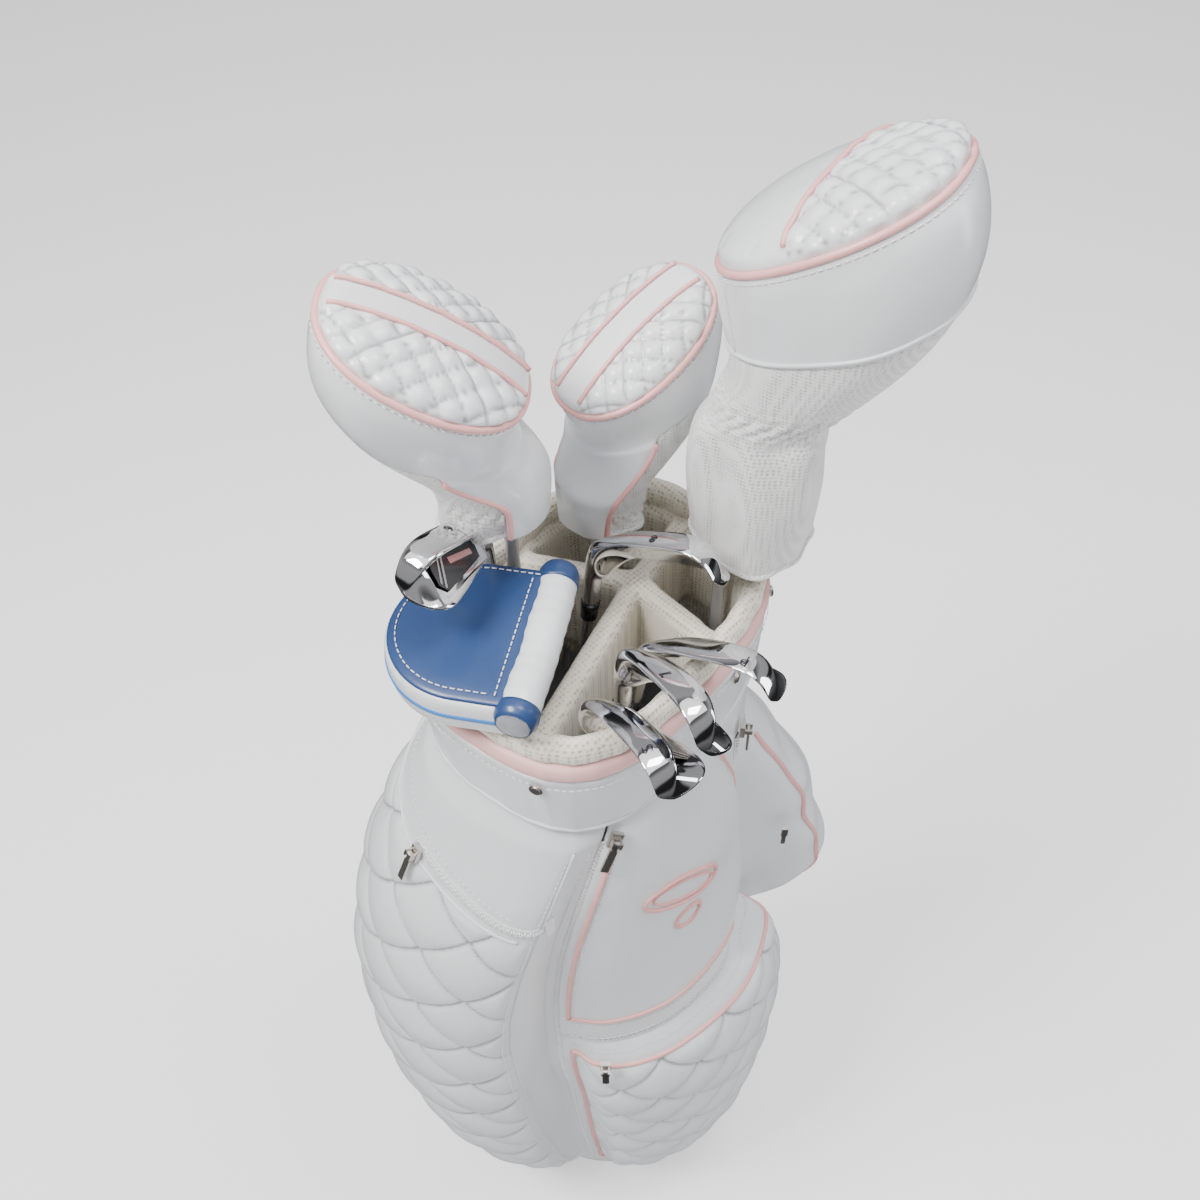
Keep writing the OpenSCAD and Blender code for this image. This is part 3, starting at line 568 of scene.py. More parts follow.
z_up = line(front_split + 0.036, 0.772, 120)
pipe("upper_piping_left", seam_a(z_up) + 4.2, z_up)
pipe("upper_piping_right", upper_right(z_up) - 1.2, z_up)
a_b = line(float(seam_a(front_split)) + 4.5, float(upper_right(front_split + 0.036)) - 1.2, 120)
pipe("upper_piping_low", a_b, a_b * 0 + front_split + 0.036)
a_t = line(float(seam_a(front_split)) + 4.6, 43.4, 140)
pipe("ball_piping_top", a_t, a_t * 0 + front_split - 0.020)
z_b = line(0.074, front_split - 0.020, 150)
pipe("ball_piping_left", seam_a(z_b) + 4.6, z_b)
pipe("ball_piping_right", ball_right(z_b) - 2.6, z_b)
a_l = line(float(seam_a(0.074)) + 4.6, float(ball_right(0.074)) - 2.6, 120)
pipe("ball_piping_low", a_l, a_l * 0 + 0.074)
z_l = line(0.06, 0.768, 160)
pipe("left_welt", seam_a(z_l) - 8.6, z_l, 0.0013, WHITE, 0.0004)
pipe("left_back_welt", z_l * 0 + LEFT_END + 1.2, z_l, 0.0018, WHITE, 0.0004)
a_q = line(-150, -66, 120)
pipe("left_quilt_welt", a_q, quilt_top(a_q) - 0.011, 0.0014, WHITE, 0.0004)


def seam_stitches(name, azs, zs):
    P = on_skin(azs, zs, 0.0002)
    N = [surf_normal(float(a), float(z)) for a, z in zip(azs, zs)]
    return stitches(name, P, N, THREAD, "bag")


seam_stitches("stitch_seam_left", seam_a(z_l) - 3.4, z_l)
seam_stitches("stitch_seam_left_b", seam_a(z_l) - 9.8, z_l)
seam_stitches("stitch_upper_left", seam_a(z_up) + 5.8, z_up)
seam_stitches("stitch_upper_right", upper_right(z_up) - 2.8, z_up)
seam_stitches("stitch_split_a", a_t, a_t * 0 + front_split + 0.008)
seam_stitches("stitch_split_b", a_t, a_t * 0 + front_split + 0.028)
seam_stitches("stitch_split_c", a_t, a_t * 0 + front_split - 0.0085)
seam_stitches("stitch_small_a", a_q, quilt_top(a_q) + 0.010)


def zip_line(name, azs, zs, width=0.009, lift=0.0006):
    """A zip: a woven tape with two rows of coil teeth."""
    P = np.array(on_skin(azs, zs, lift))
    N = np.array([surf_normal(float(a), float(z)) for a, z in zip(azs, zs)])
    T = np.gradient(P, axis=0)
    T /= np.linalg.norm(T, axis=1)[:, None]
    S = np.cross(T, N)
    prof = [(-width / 2, -0.001), (-width / 2, 0.0003), (-0.0028, 0.0005), (0.0028, 0.0005), (width / 2, 0.0003), (width / 2, -0.001)]
    V = [p + s * x + n * y for p, s, n in zip(P, S, N) for x, y in prof]
    make(name + "_tape", V, grid_faces(len(P), len(prof), False), TAPE, "bag")
    d = np.r_[0, np.cumsum(np.linalg.norm(np.diff(P, axis=0), axis=1))]
    pitch = 0.0021
    q = np.arange(0, d[-1], pitch)
    V, F = [], []
    for i, t in enumerate(q):
        p, s, n, w = [np.array([np.interp(t, d, X[:, k]) for k in range(3)]) for X in (P, S, N, T)]
        side = 1 if i % 2 else -1
        c = p + s * side * 0.0007 + n * 0.0011
        b = len(V)
        for x, y, z in ((-1, -1, -1), (1, -1, -1), (1, 1, -1), (-1, 1, -1), (-0.8, -0.7, 1), (0.8, -0.7, 1), (0.8, 0.7, 1), (-0.8, 0.7, 1)):
            V.append(c + s * x * 0.0016 + w * y * 0.0007 + n * z * 0.0006)
        F += [(b, b + 3, b + 2, b + 1), (b + 4, b + 5, b + 6, b + 7), (b, b + 1, b + 5, b + 4), (b + 1, b + 2, b + 6, b + 5),
              (b + 2, b + 3, b + 7, b + 6), (b + 3, b, b + 4, b + 7)]
    return make(name + "_teeth", V, F, THREAD, "bag", smooth=False)


zip_line("long_zip", seam_a(z_l), z_l)
z_small = line(-100, -60, 60)
zip_line("small_zip", z_small, quilt_top(z_small))
a_z = line(float(seam_a(front_split)) + 3.0, 43.6, 150)
ball_zip = zip_line("ball_zip", a_z, a_z * 0 + front_split)
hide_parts("zip_chains")
z_side = line(0.51, 0.735, 90)
zip_line("side_zip", z_side * 0 + 38.5, z_side, 0.007)
stop = surf(-59.5, float(quilt_top(-59.5)), 0.001)
sn = surf_normal(-59.5, float(quilt_top(-59.5)))
st = np.cross([0, 0, 1.0], sn)
Vs = [stop + st * x + np.array([0, 0, 1.0]) * z + sn * y for y in (0, 0.002) for x, z in ((-0.004, -0.011), (0.004, -0.011), (0.004, 0.011), (-0.004, 0.011))]
make("zip_end_box", Vs, [(0, 1, 2, 3)[::-1], (4, 5, 6, 7), (0, 1, 5, 4), (1, 2, 6, 5), (2, 3, 7, 6), (3, 0, 4, 7)], TAPE, "bag", smooth=False)

def ring_motif(name, a_mid, z_mid, wide, high, slant, r):
    pts = []
    for t in np.linspace(0, 2 * np.pi, 72, endpoint=False):
        x, y = wide * math.cos(t), high * math.sin(t)
        a = a_mid + math.degrees((x * math.cos(slant) - y * math.sin(slant)) / 0.115)
        pts.append(surf(a, z_mid + x * math.sin(slant) + y * math.cos(slant), 0.0004))
    return tube(name, pts, r, PINK, "bag", closed=True, sides=8)


ring_motif("motif_outer", -14, 0.664, 0.038, 0.0165, -0.52, 0.0021)
ring_motif("motif_inner", -14, 0.664, 0.031, 0.0105, -0.52, 0.0013)
ring_motif("motif_low", -12, 0.617, 0.012, 0.012, 0.0, 0.0021)

# ---------------------------------------------------------------- collar, band and padded rim

MA = np.linspace(0, 360, 360 if SLOW else 180, endpoint=False)
band_lo, band_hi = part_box("rim_band")
rim_lo, rim_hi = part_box("rim_pad")
collar_lo, collar_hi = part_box("top_collar")
band_tree = bvh_of("rim_band")
mouth = ray_grid(band_tree, MA, [(band_lo.z + band_hi.z) / 2])[0]
collar_R = ray_grid(bvh_of("top_collar"), MA, [collar_lo.z + 0.006, collar_lo.z + 0.03, collar_hi.z - 0.006])


def cuff(name, rows, mat, node, wave=None):
    """A ring round the mouth: each row is (radius per azimuth, height)."""
    V = []
    for R, z in rows:
        for k, a in enumerate(MA):
            w = wave(k, z) if wave else 0.0
            V.append(((R[k] + w) * math.sin(math.radians(a)), -(R[k] + w) * math.cos(math.radians(a)), z))
    return make(name, V, grid_faces(len(rows), len(MA)), mat, "bag", node, subdiv=1)


rows = []
for t in np.linspace(0, 1, 26):
    z = collar_lo.z + (collar_hi.z - collar_lo.z) * t
    i = min(int(t * 2), 1)
    base = collar_R[i] + (collar_R[i + 1] - collar_R[i]) * (t * 2 - i)
    rows.append((base + 0.0014 * math.sin(math.pi * t) ** 0.5 - 0.0012 * math.exp(-((t - 0.86) / 0.03) ** 2), z))
rows = [(rows[0][0] - 0.004, rows[0][1] + 0.001)] + rows + [(rows[-1][0] - 0.004, rows[-1][1])]
cuff("collar_skin", rows, WHITE, "top_collar", lambda k, z: 0.0006 * math.sin(MA[k] * 0.32 + z * 60))
h = band_hi.z - band_lo.z
cuff("pink_rim_band", [(mouth - 0.006, band_lo.z - 0.001), (mouth - 0.0002, band_lo.z - 0.0006), (mouth + 0.0012, band_lo.z + h * 0.25),
                       (mouth + 0.0014, band_lo.z + h * 0.5), (mouth + 0.0006, band_lo.z + h * 0.8), (mouth - 0.0012, band_hi.z), (mouth - 0.006, band_hi.z + 0.001)],
     PINKSOFT, "rim_band")
roll = []
for t in np.linspace(-35, 215, 26):
    c, s = math.cos(math.radians(t)), math.sin(math.radians(t))
    roll.append((mouth - 0.0110 + 0.0085 * c, rim_hi.z - 0.0115 + 0.0120 * s))
for z in np.linspace(rim_hi.z - 0.022, 0.70, 14):
    roll.append((mouth - 0.0170, z))
cuff("padded_rim", roll, CREAM, "rim_pad", lambda k, z: 0.0005 * math.sin(MA[k] * 0.5 + z * 40))
stitch_ring = np.array([[(mouth[k] + 0.0026 - 0.004 * 0) * math.sin(math.radians(a)), -(mouth[k] + 0.0026) * math.cos(math.radians(a)), band_lo.z - 0.008]
                        for k, a in enumerate(MA)] + [[0, 0, 0]])[:-1]
ring_n = np.array([[math.sin(math.radians(a)), -math.cos(math.radians(a)), 0] for a in MA])
stitches("stitch_collar", stitch_ring - ring_n * 0.0016, ring_n, THREAD, "bag")
welt = [[(collar_R[0][k] + 0.0006) * math.sin(math.radians(a)), -(collar_R[0][k] + 0.0006) * math.cos(math.radians(a)), collar_lo.z + 0.0012] for k, a in enumerate(MA)]
tube("collar_welt", welt, 0.0016, WHITE, "bag", closed=True)
soften("club_divider", "divider_pads", 0.003, 0.0035, 8, CREAM, "bag")

# ---------------------------------------------------------------- handle and strap

soften("carry_handle", "handle_pad", 0.003, 0.0004, 6, WHITE, "bag")
soften("shoulder_strap", "strap_pad", 0.003, 0.0008, 8, WHITE, "strap")

# ---------------------------------------------------------------- hard CAD nodes that are shown


def dress(node, mat, bevel=0.0, angle=35):
    o = NODES[node]
    o.data.materials.clear()
    o.data.materials.append(mat)
    o.data.polygons.foreach_set("use_smooth", [True] * len(o.data.polygons))
    if bevel:
        b = o.modifiers.new("Bevel", "BEVEL")
        b.width = bevel
        b.segments = 2
        b.limit_method = "ANGLE"
        b.angle_limit = math.radians(40)
        b.harden_normals = False
    w = o.modifiers.new("Edges", "EDGE_SPLIT")
    w.split_angle = math.radians(angle)


dress("base_cup", PLASTIC, 0.0006)
dress("stay_rods", SHAFT)
dress("strap_rings", NICKEL, 0.0003)
dress("strap_hooks", NICKEL, 0.0005)
dress("hood_snaps", NICKEL, 0.0005)
for k in ("ball", "upper", "long", "small"):
    dress(k + "_zip_slider", NICKEL, 0.0006)
    dress(k + "_zip_tab", NICKEL, 0.0004)
dress("pouch_zip_pull", NICKEL, 0.0005)

# ---------------------------------------------------------------- clubs

TURN = {"driver": 20, "fairway": 222, "hybrid": 83, "putter": 123, "iron_7": 343, "iron_8": 13, "iron_9": 287, "iron_p": 12, "iron_s": 344}
TIP_PAST_SHAFT = {"driver": 0.057, "fairway": 0.037, "hybrid": 0.035, "putter": 0.033}


def club_frame(club):
    """Origin at the club's tip, +Z up the shaft, +X to the toe, +Y to the back."""
    j = JOINTS[club + "_draw"]
    ax = Vector(j["axis"]).normalized()
    p = Vector(j["pos_m"])
    along = max((v.co - p).dot(ax) for v in NODES[club + "_shaft"].data.vertices) + TIP_PAST_SHAFT.get(club, 0.039)
    t = math.radians(TURN[club])
    lean_z = Vector((0, 0, 1)).rotation_difference(ax).to_matrix()
    x = lean_z @ Vector((math.sin(t), -math.cos(t), 0))
    y = ax.cross(x)
    m = Matrix((x, y, ax)).transposed().to_4x4()
    m.translation = p + ax * along
    return m


def place(M, pts):
    P = np.array(pts, float)
    A = np.array(M)
    return P @ A[:3, :3].T + A[:3, 3]


for club in TURN:
    wood = club in ("driver", "fairway", "hybrid")
    dress(club + "_shaft", SHAFT if wood else STEEL, angle=60)
    dress(club + "_grip", RUBBER, 0.0006, 60)
    if wood:
        dress(club + "_head", PEARL, 0.0008, 70)
dress("putter_head", SATIN, 0.001)

# irons
SLOPE = math.radians(27)
LOFT = {"iron_7": 33, "iron_8": 37, "iron_9": 42, "iron_p": 46, "iron_s": 54}
BLADE = 0.104


def tilt_pt(u, y, z, s=SLOPE):
    return (u * math.cos(s) - z * math.sin(s), y, u * math.sin(s) + z * math.cos(s))


def blade_profile(u, s, t, w, tw, cav, loft):
    """Section of an iron blade at u: from the leading edge over the sole, down the cavity back and up the face."""
    h = s - t
    f = 4.6
    raw = [(0.2, s - 3.4), (0.9, s - 1.3), (3.0, s - 0.1), (w * 0.45, s + 0.4), (w * 0.8, s - 0.5), (w - 0.6, s - 2.4),
           (w - 0.2, s - 4.2), (w - 1.5, s - 6.6), (w - 3.0, s - 8.2),
           (f + (w - 4.5 - f) * (1 - 0.75 * cav), s - 9.2), (f + (w - 6.5 - f) * (1 - cav) * 0.6, s - h * 0.34),
           (f, s - h * 0.55), (f, t + 8.0 * cav + 2), (tw + 0.9 * cav, t + 5.2 * cav + 1.6), (tw + 0.7, t + 3.0),
           (tw, t + 1.0), (tw * 0.6, t + 0.2), (1.2, t + 0.3), (0.1, t + 1.6), (0.0, s - h * 0.66), (0.0, s - h * 0.33)]
    sl, cl = math.sin(math.radians(loft)), math.cos(math.radians(loft))
    return [tilt_pt(u * mm, (y + (s - z) * sl - 4) * mm, (s + (z - s) * cl) * mm) for y, z in raw]


def iron(club):
    M, loft, body = club_frame(club), LOFT[club], club + "_club"
    toe = BLADE * 1000 - 14
    st = [(toe - 0.3, -25, -38, 9, 5, 0), (toe - 1.5, -19, -43, 13, 5, 0), (toe * 0.955, -11, -48, 17, 5, 0.1), (toe * 0.89, -4.6, -51.5, 20, 5, 0.75),
          (toe * 0.8, -1.3, -51.5, 21.5, 5, 1), (toe * 0.68, -0.1, -48.5, 22, 5, 1), (toe * 0.55, 0.2, -44.5, 22, 5, 1), (toe * 0.42, 0, -40.5, 21.5, 5, 1),
          (toe * 0.3, -0.3, -37, 20.5, 5, 0.9), (toe * 0.2, -0.8, -34.5, 19, 5, 0.3), (10, -2.2, -32.5, 17, 6, 0)]
    n = 21
    V = [p for row in st for p in blade_profile(*row, loft)]
    rings = len(st)
    # the blade turns into the hosel through an elbow
    hosel = []
    angs = [math.radians(238 - 360 * k / n) for k in range(n)]
    for cx, cz, rx, rz, ry, yc in ((3.0, -19, 9.4, 13, 8.6, 2.2), (0.9, -26, 8.2, 7.5, 7.6, 0.8), (0.1, -32, 7.1, 3.0, 7.0, 0.2), (0, -38, 6.8, 0.6, 6.8, 0), (0, -48, 6.7, 0, 6.7, 0),
                                   (0, -60, 6.6, 0, 6.6, 0), (0, -65.2, 6.5, 0, 6.5, 0), (0, -66, 5.8, 0, 5.8, 0)):
        hosel += [((cx + rx * math.cos(t)) * mm, (yc + ry * math.sin(t)) * mm, (cz - rz * math.cos(t)) * mm) for t in angs]
    V += hosel
    rings += 8
    F = grid_faces(rings, n) + [tuple(range(n))[::-1], tuple((rings - 1) * n + k for k in range(n))]
    head = make(club + "_blade", place(M, V), F, CHROME, body, club + "_head", subdiv=2)
    # ferrule band, face grooves, sole mark and cavity badge
    rings_f = [(5.2, -84), (6.5, -83.6), (7.1, -70), (7.2, -66.4), (6.0, -66.2)]
    Vf = [(r * mm * math.cos(2 * math.pi * k / 32), r * mm * math.sin(2 * math.pi * k / 32), z * mm) for r, z in rings_f for k in range(32)]
    make(club + "_ferrule", place(M, Vf), grid_faces(len(rings_f), 32), BLACK, body)
    sl, cl = math.sin(math.radians(loft)), math.cos(math.radians(loft))

    def face_pt(u, d, out):
        # d: distance up the face from the leading edge; out: off the surface
        return tilt_pt(u * mm, (d * sl - 4 - out * cl) * mm, (-d * cl - out * sl) * mm)

    Vg, Fg = [], []
    for g in range(9):
        d = 7 + g * 3.2
        b = len(Vg)
        for u in (22, 66):
            for dd in (-0.45, 0.45):
                Vg.append(face_pt(u, d + dd, 0.12))
        Fg.append((b, b + 1, b + 3, b + 2))
    make(club + "_face_lines", place(M, Vg), Fg, SATIN, body, smooth=False)

    def back_pt(u, d, out):
        return tilt_pt(u * mm, (4.6 + d * sl - 4 + out * cl) * mm, (-d * cl + out * sl) * mm)

    def badge(name, outline, out, mat, thick=0.5):
        n2 = len(outline)
        Vb = [back_pt(u, d, out) for u, d in outline] + [back_pt(u, d, out + thick) for u, d in outline]
        Fb = [tuple(range(n2))[::-1], tuple(n2 + k for k in range(n2))] + [(k, (k + 1) % n2, n2 + (k + 1) % n2, n2 + k) for k in range(n2)]
        return make(club + name, place(M, Vb), Fb, mat, body, smooth=False)

    badge("_badge", [(22, 17), (70, 14), (76, 22), (76, 34), (70, 40), (48, 35), (24, 29)], 0.1, BLACK)
    badge("_badge_bar", [(30, 21), (56, 20), (56, 24.5), (30, 25)], 0.7, ROSE, 0.25)
    badge("_badge_line_a", [(60, 16.5), (62, 16.4), (72, 37), (70.2, 37.4)], 0.7, SATIN, 0.25)
    badge("_badge_line_b", [(64, 16.3), (65.4, 16.2), (74.4, 33), (73.4, 34.5)], 0.7, SATIN, 0.25)
    mark = club.split("_")[1].upper()
    cu = bpy.data.curves.new(club + "_mark_text", "FONT")
    cu.body = mark
    cu.size = 0.0105
    cu.extrude = 0.00012
    cu.align_x = cu.align_y = "CENTER"
    to = bpy.data.objects.new("tmp", cu)
    bpy.context.scene.collection.objects.link(to)
    bpy.context.view_layer.update()
    me = bpy.data.meshes.new_from_object(to.evaluated_get(bpy.context.evaluated_depsgraph_get()))
    bpy.data.objects.remove(to)
    u0 = 72 if club in ("iron_p", "iron_s") else 44
    pts = []
    for v in me.vertices:
        # the mark reads from behind the blade: its right is the heel side
        x, y, z = v.co
        uu, yy = u0 - x * 1000, 11 - 4 - y * 1000
        pts.append(tilt_pt(uu * mm, yy * mm, (0.65 - 0.003 * (yy - 6) ** 2 + z * 1000) * mm - (0.0012 if u0 > 60 else 0)))
    W = place(M, pts)
    for v, p in zip(me.vertices, W):
        v.co = p
    mo = bpy.data.objects.new(club + "_mark", me)
    bpy.context.scene.collection.objects.link(mo)
    finish_piece(mo, INK, body, smooth=False)
    return head


for club in LOFT:
    iron(club)

# ---------------------------------------------------------------- headcovers


def interp_rows(keys, n):
    """Smooth rows between key rows (Catmull-Rom through each column)."""
    K = np.array(keys, float)
    t = np.linspace(0, len(K) - 1, n)
    out = []
    for q in t:
        i = min(int(q), len(K) - 2)
        f = q - i
        p0, p1, p2, p3 = K[max(i - 1, 0)], K[i], K[i + 1], K[min(i + 2, len(K) - 1)]
        out.append(0.5 * ((2 * p1) + (-p0 + p2) * f + (2 * p0 - 5 * p1 + 4 * p2 - p3) * f * f + (-p0 + 3 * p1 - 3 * p2 + p3) * f ** 3))
    return np.array(out), t


def cover_ring(row, m, e=0.9):
    """row: height, half length, half depth, centre x, centre y, tilt; a ring of m points in the club's frame, in mm."""
    z, L, W, cx, cy, tilt = row
    th = np.linspace(0, 2 * np.pi, m, endpoint=False)
    c, s = np.cos(th), np.sin(th)
    x = cx + L * np.sign(c) * np.abs(c) ** e
    y = cy + W * np.sign(s) * np.abs(s) ** e
    a = math.radians(tilt)
    return np.stack([x * math.cos(a) - z * math.sin(a), y, x * math.sin(a) + z * math.cos(a)], 1)


def normals_of(P):
    du = np.roll(P, -1, 1) - np.roll(P, 1, 1)
    dv = np.gradient(P, axis=0)
    n = np.cross(du, dv)
    return n / (np.linalg.norm(n, axis=2)[:, :, None] + 1e-9)


def cloth_settle(o, pin_rows, m, limit=0.004):
    """Puffs a stitched shell with a short cloth run and keeps each point within a limit of where it was."""
    g = o.vertex_groups.new(name="pin")
    pins = [r * m + k for r in pin_rows for k in range(m)]
    g.add([int(p) for p in pins], 1.0, "REPLACE")
    before = np.array([v.co for v in o.data.vertices])
    c = o.modifiers.new("Cloth", "CLOTH")
    s = c.settings
    s.vertex_group_mass = "pin"
    s.quality = 4
    s.mass = 0.15
    s.tension_stiffness = s.compression_stiffness = 8
    s.shear_stiffness = 3
    s.bending_stiffness = 0.3
    s.use_pressure = True
    s.uniform_pressure_force = 4
    s.effector_weights.gravity = 0
    c.collision_settings.use_collision = False
    c.collision_settings.use_self_collision = False
    c.point_cache.frame_start, c.point_cache.frame_end = 1, 20
    sc = bpy.context.scene
    for f in range(1, 21):
        sc.frame_set(f)
        dg = bpy.context.evaluated_depsgraph_get()
        ev = o.evaluated_get(dg)
        ev.data.vertices[0].co
    after = np.array([v.co for v in o.evaluated_get(bpy.context.evaluated_depsgraph_get()).data.vertices])
    o.modifiers.remove(c)
    sc.frame_set(1)
    d = after - before
    ln = np.linalg.norm(d, axis=1)
    if np.isfinite(ln).all():
        d *= (np.minimum(ln, limit) / (ln + 1e-9))[:, None]
        o.data.vertices.foreach_set("co", (before + d).ravel())
        o.data.update()


def smooth_line(P, rounds=3):
    P = np.array(P)
    for _ in range(rounds):
        P[1:-1] = (P[:-2] + 2 * P[1:-1] + P[2:]) / 4
    return P


def build_wood_cover(club, keys, pipe_at, leather_to, knit_to, panel, neck=None, n_rows=110, m=180):
    """keys run from the top's middle to the sock's end. pipe_at etc. are key positions.
    neck: middle and half width in degrees of the leather that runs on down the neck over the knit."""
    M = club_frame(club)
    body = club + "_headcover"
    if not SLOW:
        n_rows, m = 60, 96
    rows, t = interp_rows(keys, n_rows)
    P = np.array([cover_ring(r, m) for r in rows])
    N = normals_of(P)
    flip = np.sign((N * (P - P.mean(1, keepdims=True))).sum(2).mean()) or 1
    N *= flip
    th = np.linspace(0, 2 * np.pi, m, endpoint=False)
    TH, TT = np.meshgrid(th, t)
    cx, cy = rows[:, 3][:, None], rows[:, 4][:, None]
    a = np.radians(rows[:, 5])[:, None]
    X = P[:, :, 0] * np.cos(a) + P[:, :, 2] * np.sin(a) - keys[2][3]
    Y = P[:, :, 1] - keys[2][4]
    D = np.zeros_like(TT)
    on_top = ease((pipe_at - 0.12 - TT) / 0.3)
    relief, stitched = panel(X, Y)
    D += relief * on_top
    # Painted shade: the top's quilting stitch lines and a band along the piping crease are darkened in the colour
    # through the seam attribute.
    seam = stitched * on_top + 0.5 * np.exp(-((TT - pipe_at) / 0.1) ** 2)
    D -= 1.4 * np.exp(-((TT - pipe_at) / 0.12) ** 2)
    fold = sum(np.sin(TH * f + TT * g + p) * w for f, g, p, w in ((3, 0.9, 0.4, 0.7), (5, -1.3, 2.2, 0.5), (8, 0.7, 1.0, 0.3)))
    side = ease((TT - pipe_at - 0.3) / 0.6)
    D += fold * side
    knit = ease((TT - leather_to) / 0.15)
    gather = np.exp(-((TT - knit_to) / 0.55) ** 2)
    pucker = gather * (2.8 * np.abs(np.sin(TH * 12 + 1.2 * np.sin(TT * 4))) - 1.4 + 0.9 * np.sin(TT * 22))
    if neck:
        off = np.abs((np.degrees(TH) - neck[0] + 180) % 360 - 180)
        leather = ease((neck[1] + neck[2] * ease((TT - leather_to) / 3) - off) / 7)
        D_knit = D + knit * (pucker - 3.5 * leather)
        D = D + knit * (3.0 * leather - 4.0 * (1 - leather))
    else:
        D_knit = D + knit * pucker
    loose = ease((TT - knit_to - 0.4) / 0.6)
    D_knit -= 3.2 * (1 - ease((TT - leather_to + 0.1) / 0.2))
    D_knit += loose * (2.4 * np.sin(TH * 3 + TT * 1.1) + 1.6 * np.sin(TH * 7 - TT * 0.9 + 1.2))
    base = place(M, (P.reshape(-1, 3) * mm)).reshape(P.shape)
    Nw = (N.reshape(-1, 3) @ np.array(M)[:3, :3].T).reshape(P.shape)
    k_split = int(np.searchsorted(t, leather_to))

    def shell(name, r0, r1, mat, node, cap):
        V = base[r0:r1].reshape(-1, 3)
        F = grid_faces(r1 - r0, m)
        if cap:
            F = F + [tuple(range(m))[::-1]]
        o = make(name, V, F, mat, body, node)
        if mat is COVER:
            pins = sorted({0, 1, 2, int(np.searchsorted(t, pipe_at)) - r0, int(np.searchsorted(t, pipe_at)) - 1 - r0, r1 - r0 - 1, r1 - r0 - 2})
            cloth_settle(o, [p for p in pins if 0 <= p < r1 - r0], m, 0.0035)
        co = np.array([v.co for v in o.data.vertices]).reshape(r1 - r0, m, 3)
        relief_here = D if mat is COVER else D_knit
        co = co + Nw[r0:r1] * (relief_here[r0:r1] * mm)[:, :, None]
        o.data.vertices.foreach_set("co", co.reshape(-1, 3).ravel())
        o.data.update()
        set_seam_shade(o, seam[r0:r1])
        s = o.modifiers.new("Subdivision", "SUBSURF")
        s.levels = s.render_levels = 1
        return co

    k_end = len(t)
    top = shell(club + "_cover_leather", 0, k_end - 1 if neck else k_split + 1, COVER, club + "_cover", True)
    low = shell(club + "_cover_knit", k_split - 6, k_end, KNIT, club + "_sock", False)
    kp = int(np.searchsorted(t, pipe_at))
    ring = top[kp] + Nw[kp] * 0.0014
    tube(club + "_piping", ring, 0.0024, PINK, body, closed=True)
    hem = low[-1]
    tube(club + "_sock_hem", hem, 0.0022, KNIT, body, closed=True)
    if neck:
        for k, way in enumerate((-1, 1)):
            edge_line = []
            for r in range(kp + 1, k_end - 2):
                w = neck[1] + neck[2] * float(ease((t[r] - leather_to) / 3)) - 5
                c = int(round(((neck[0] + way * w) % 360) / 360 * m)) % m
                if t[r] > leather_to + 0.1:
                    edge_line.append(top[r, c] + Nw[r, c] * 0.001)
            tube(club + "_neck_piping_" + "ab"[k], smooth_line(edge_line, 8), 0.0022, PINK, body)
    ks = int(np.searchsorted(t, pipe_at + 0.28))
    stitches(club + "_cover_stitch", np.vstack([top[ks], top[ks][:1]]) + 0, np.vstack([Nw[ks], Nw[ks][:1]]), THREAD, body)
    return M, top, Nw, t, rows, X, Y


def surface_line(top, Nw, X, Y, pts, lift=0.0014):
    """Points on the cover's top panel nearest to panel coordinates."""
    n = top.shape[0]
    xs, ys = X[:n].ravel(), Y[:n].ravel()
    limit = np.arange(n).repeat(X.shape[1])
    T = top.reshape(-1, 3)
    NN = Nw[:n].reshape(-1, 3)
    out, nn = [], []
    for x, y in pts:
        d = (xs - x) ** 2 + (ys - y) ** 2 + np.where(limit > 34, 1e6, 0)
        k = np.argsort(d)[:6]
        w = 1 / (d[k] + 0.5)
        w /= w.sum()
        out.append((T[k] * w[:, None]).sum(0) + (NN[k] * w[:, None]).sum(0) * lift)
        nn.append((NN[k] * w[:, None]).sum(0))
    return out, nn


# Each panel function gives the top's relief in mm and a stitch-line mask that the cover paints as shade in its colour.
def driver_panel(X, Y):
    quilted = ease((X - 6 - 0.25 * Y) / 3)
    return quilted * (4.6 * quilt(X + 3, Y, 23) - 1.6), seam_mask(X + 3, Y, 23, 0.9) * quilted


driver_keys = [(20, 2, 2, 50, 30, 32), (18, 34, 30, 50, 30, 32), (10, 70, 60, 50, 30, 32), (-1, 78, 68, 50, 30, 31), (-20, 84, 71, 47, 30, 30),
               (-44, 82, 67, 42, 27, 26), (-68, 70, 59, 36, 22, 18), (-92, 52, 47, 27, 15, 8), (-114, 41, 38, 19, 8, 2), (-136, 45, 41, 18, 6, 0),
               (-180, 47, 43, 18, 6, 0), (-234, 42, 39, 18, 6, 0)]
dM, d_top, d_N, d_t, d_rows, dX, dY = build_wood_cover("driver", driver_keys, 3.0, 5.6, 7.6, driver_panel)
cut = [(6 + 0.25 * y, y) for y in np.linspace(-62, 62, 60)]
cp, cn = surface_line(d_top, d_N, dX, dY, cut)
tube("driver_panel_line", smooth_line(cp), 0.0017, PINK, "driver_headcover")
kb = int(np.searchsorted(d_t, 5.45))
tube("driver_band_edge", d_top[kb] + d_N[kb] * 0.0006, 0.0013, COVER, "driver_headcover", closed=True)
for q in (0.62, 0.12):
    col = int(q * d_top.shape[1])
    tube("driver_side_seam_" + str(col), smooth_line([d_top[r, col] + d_N[r, col] * 0.0002 for r in range(int(np.searchsorted(d_t, 3.2)), kb)]),
         0.0009, COVER, "driver_headcover")


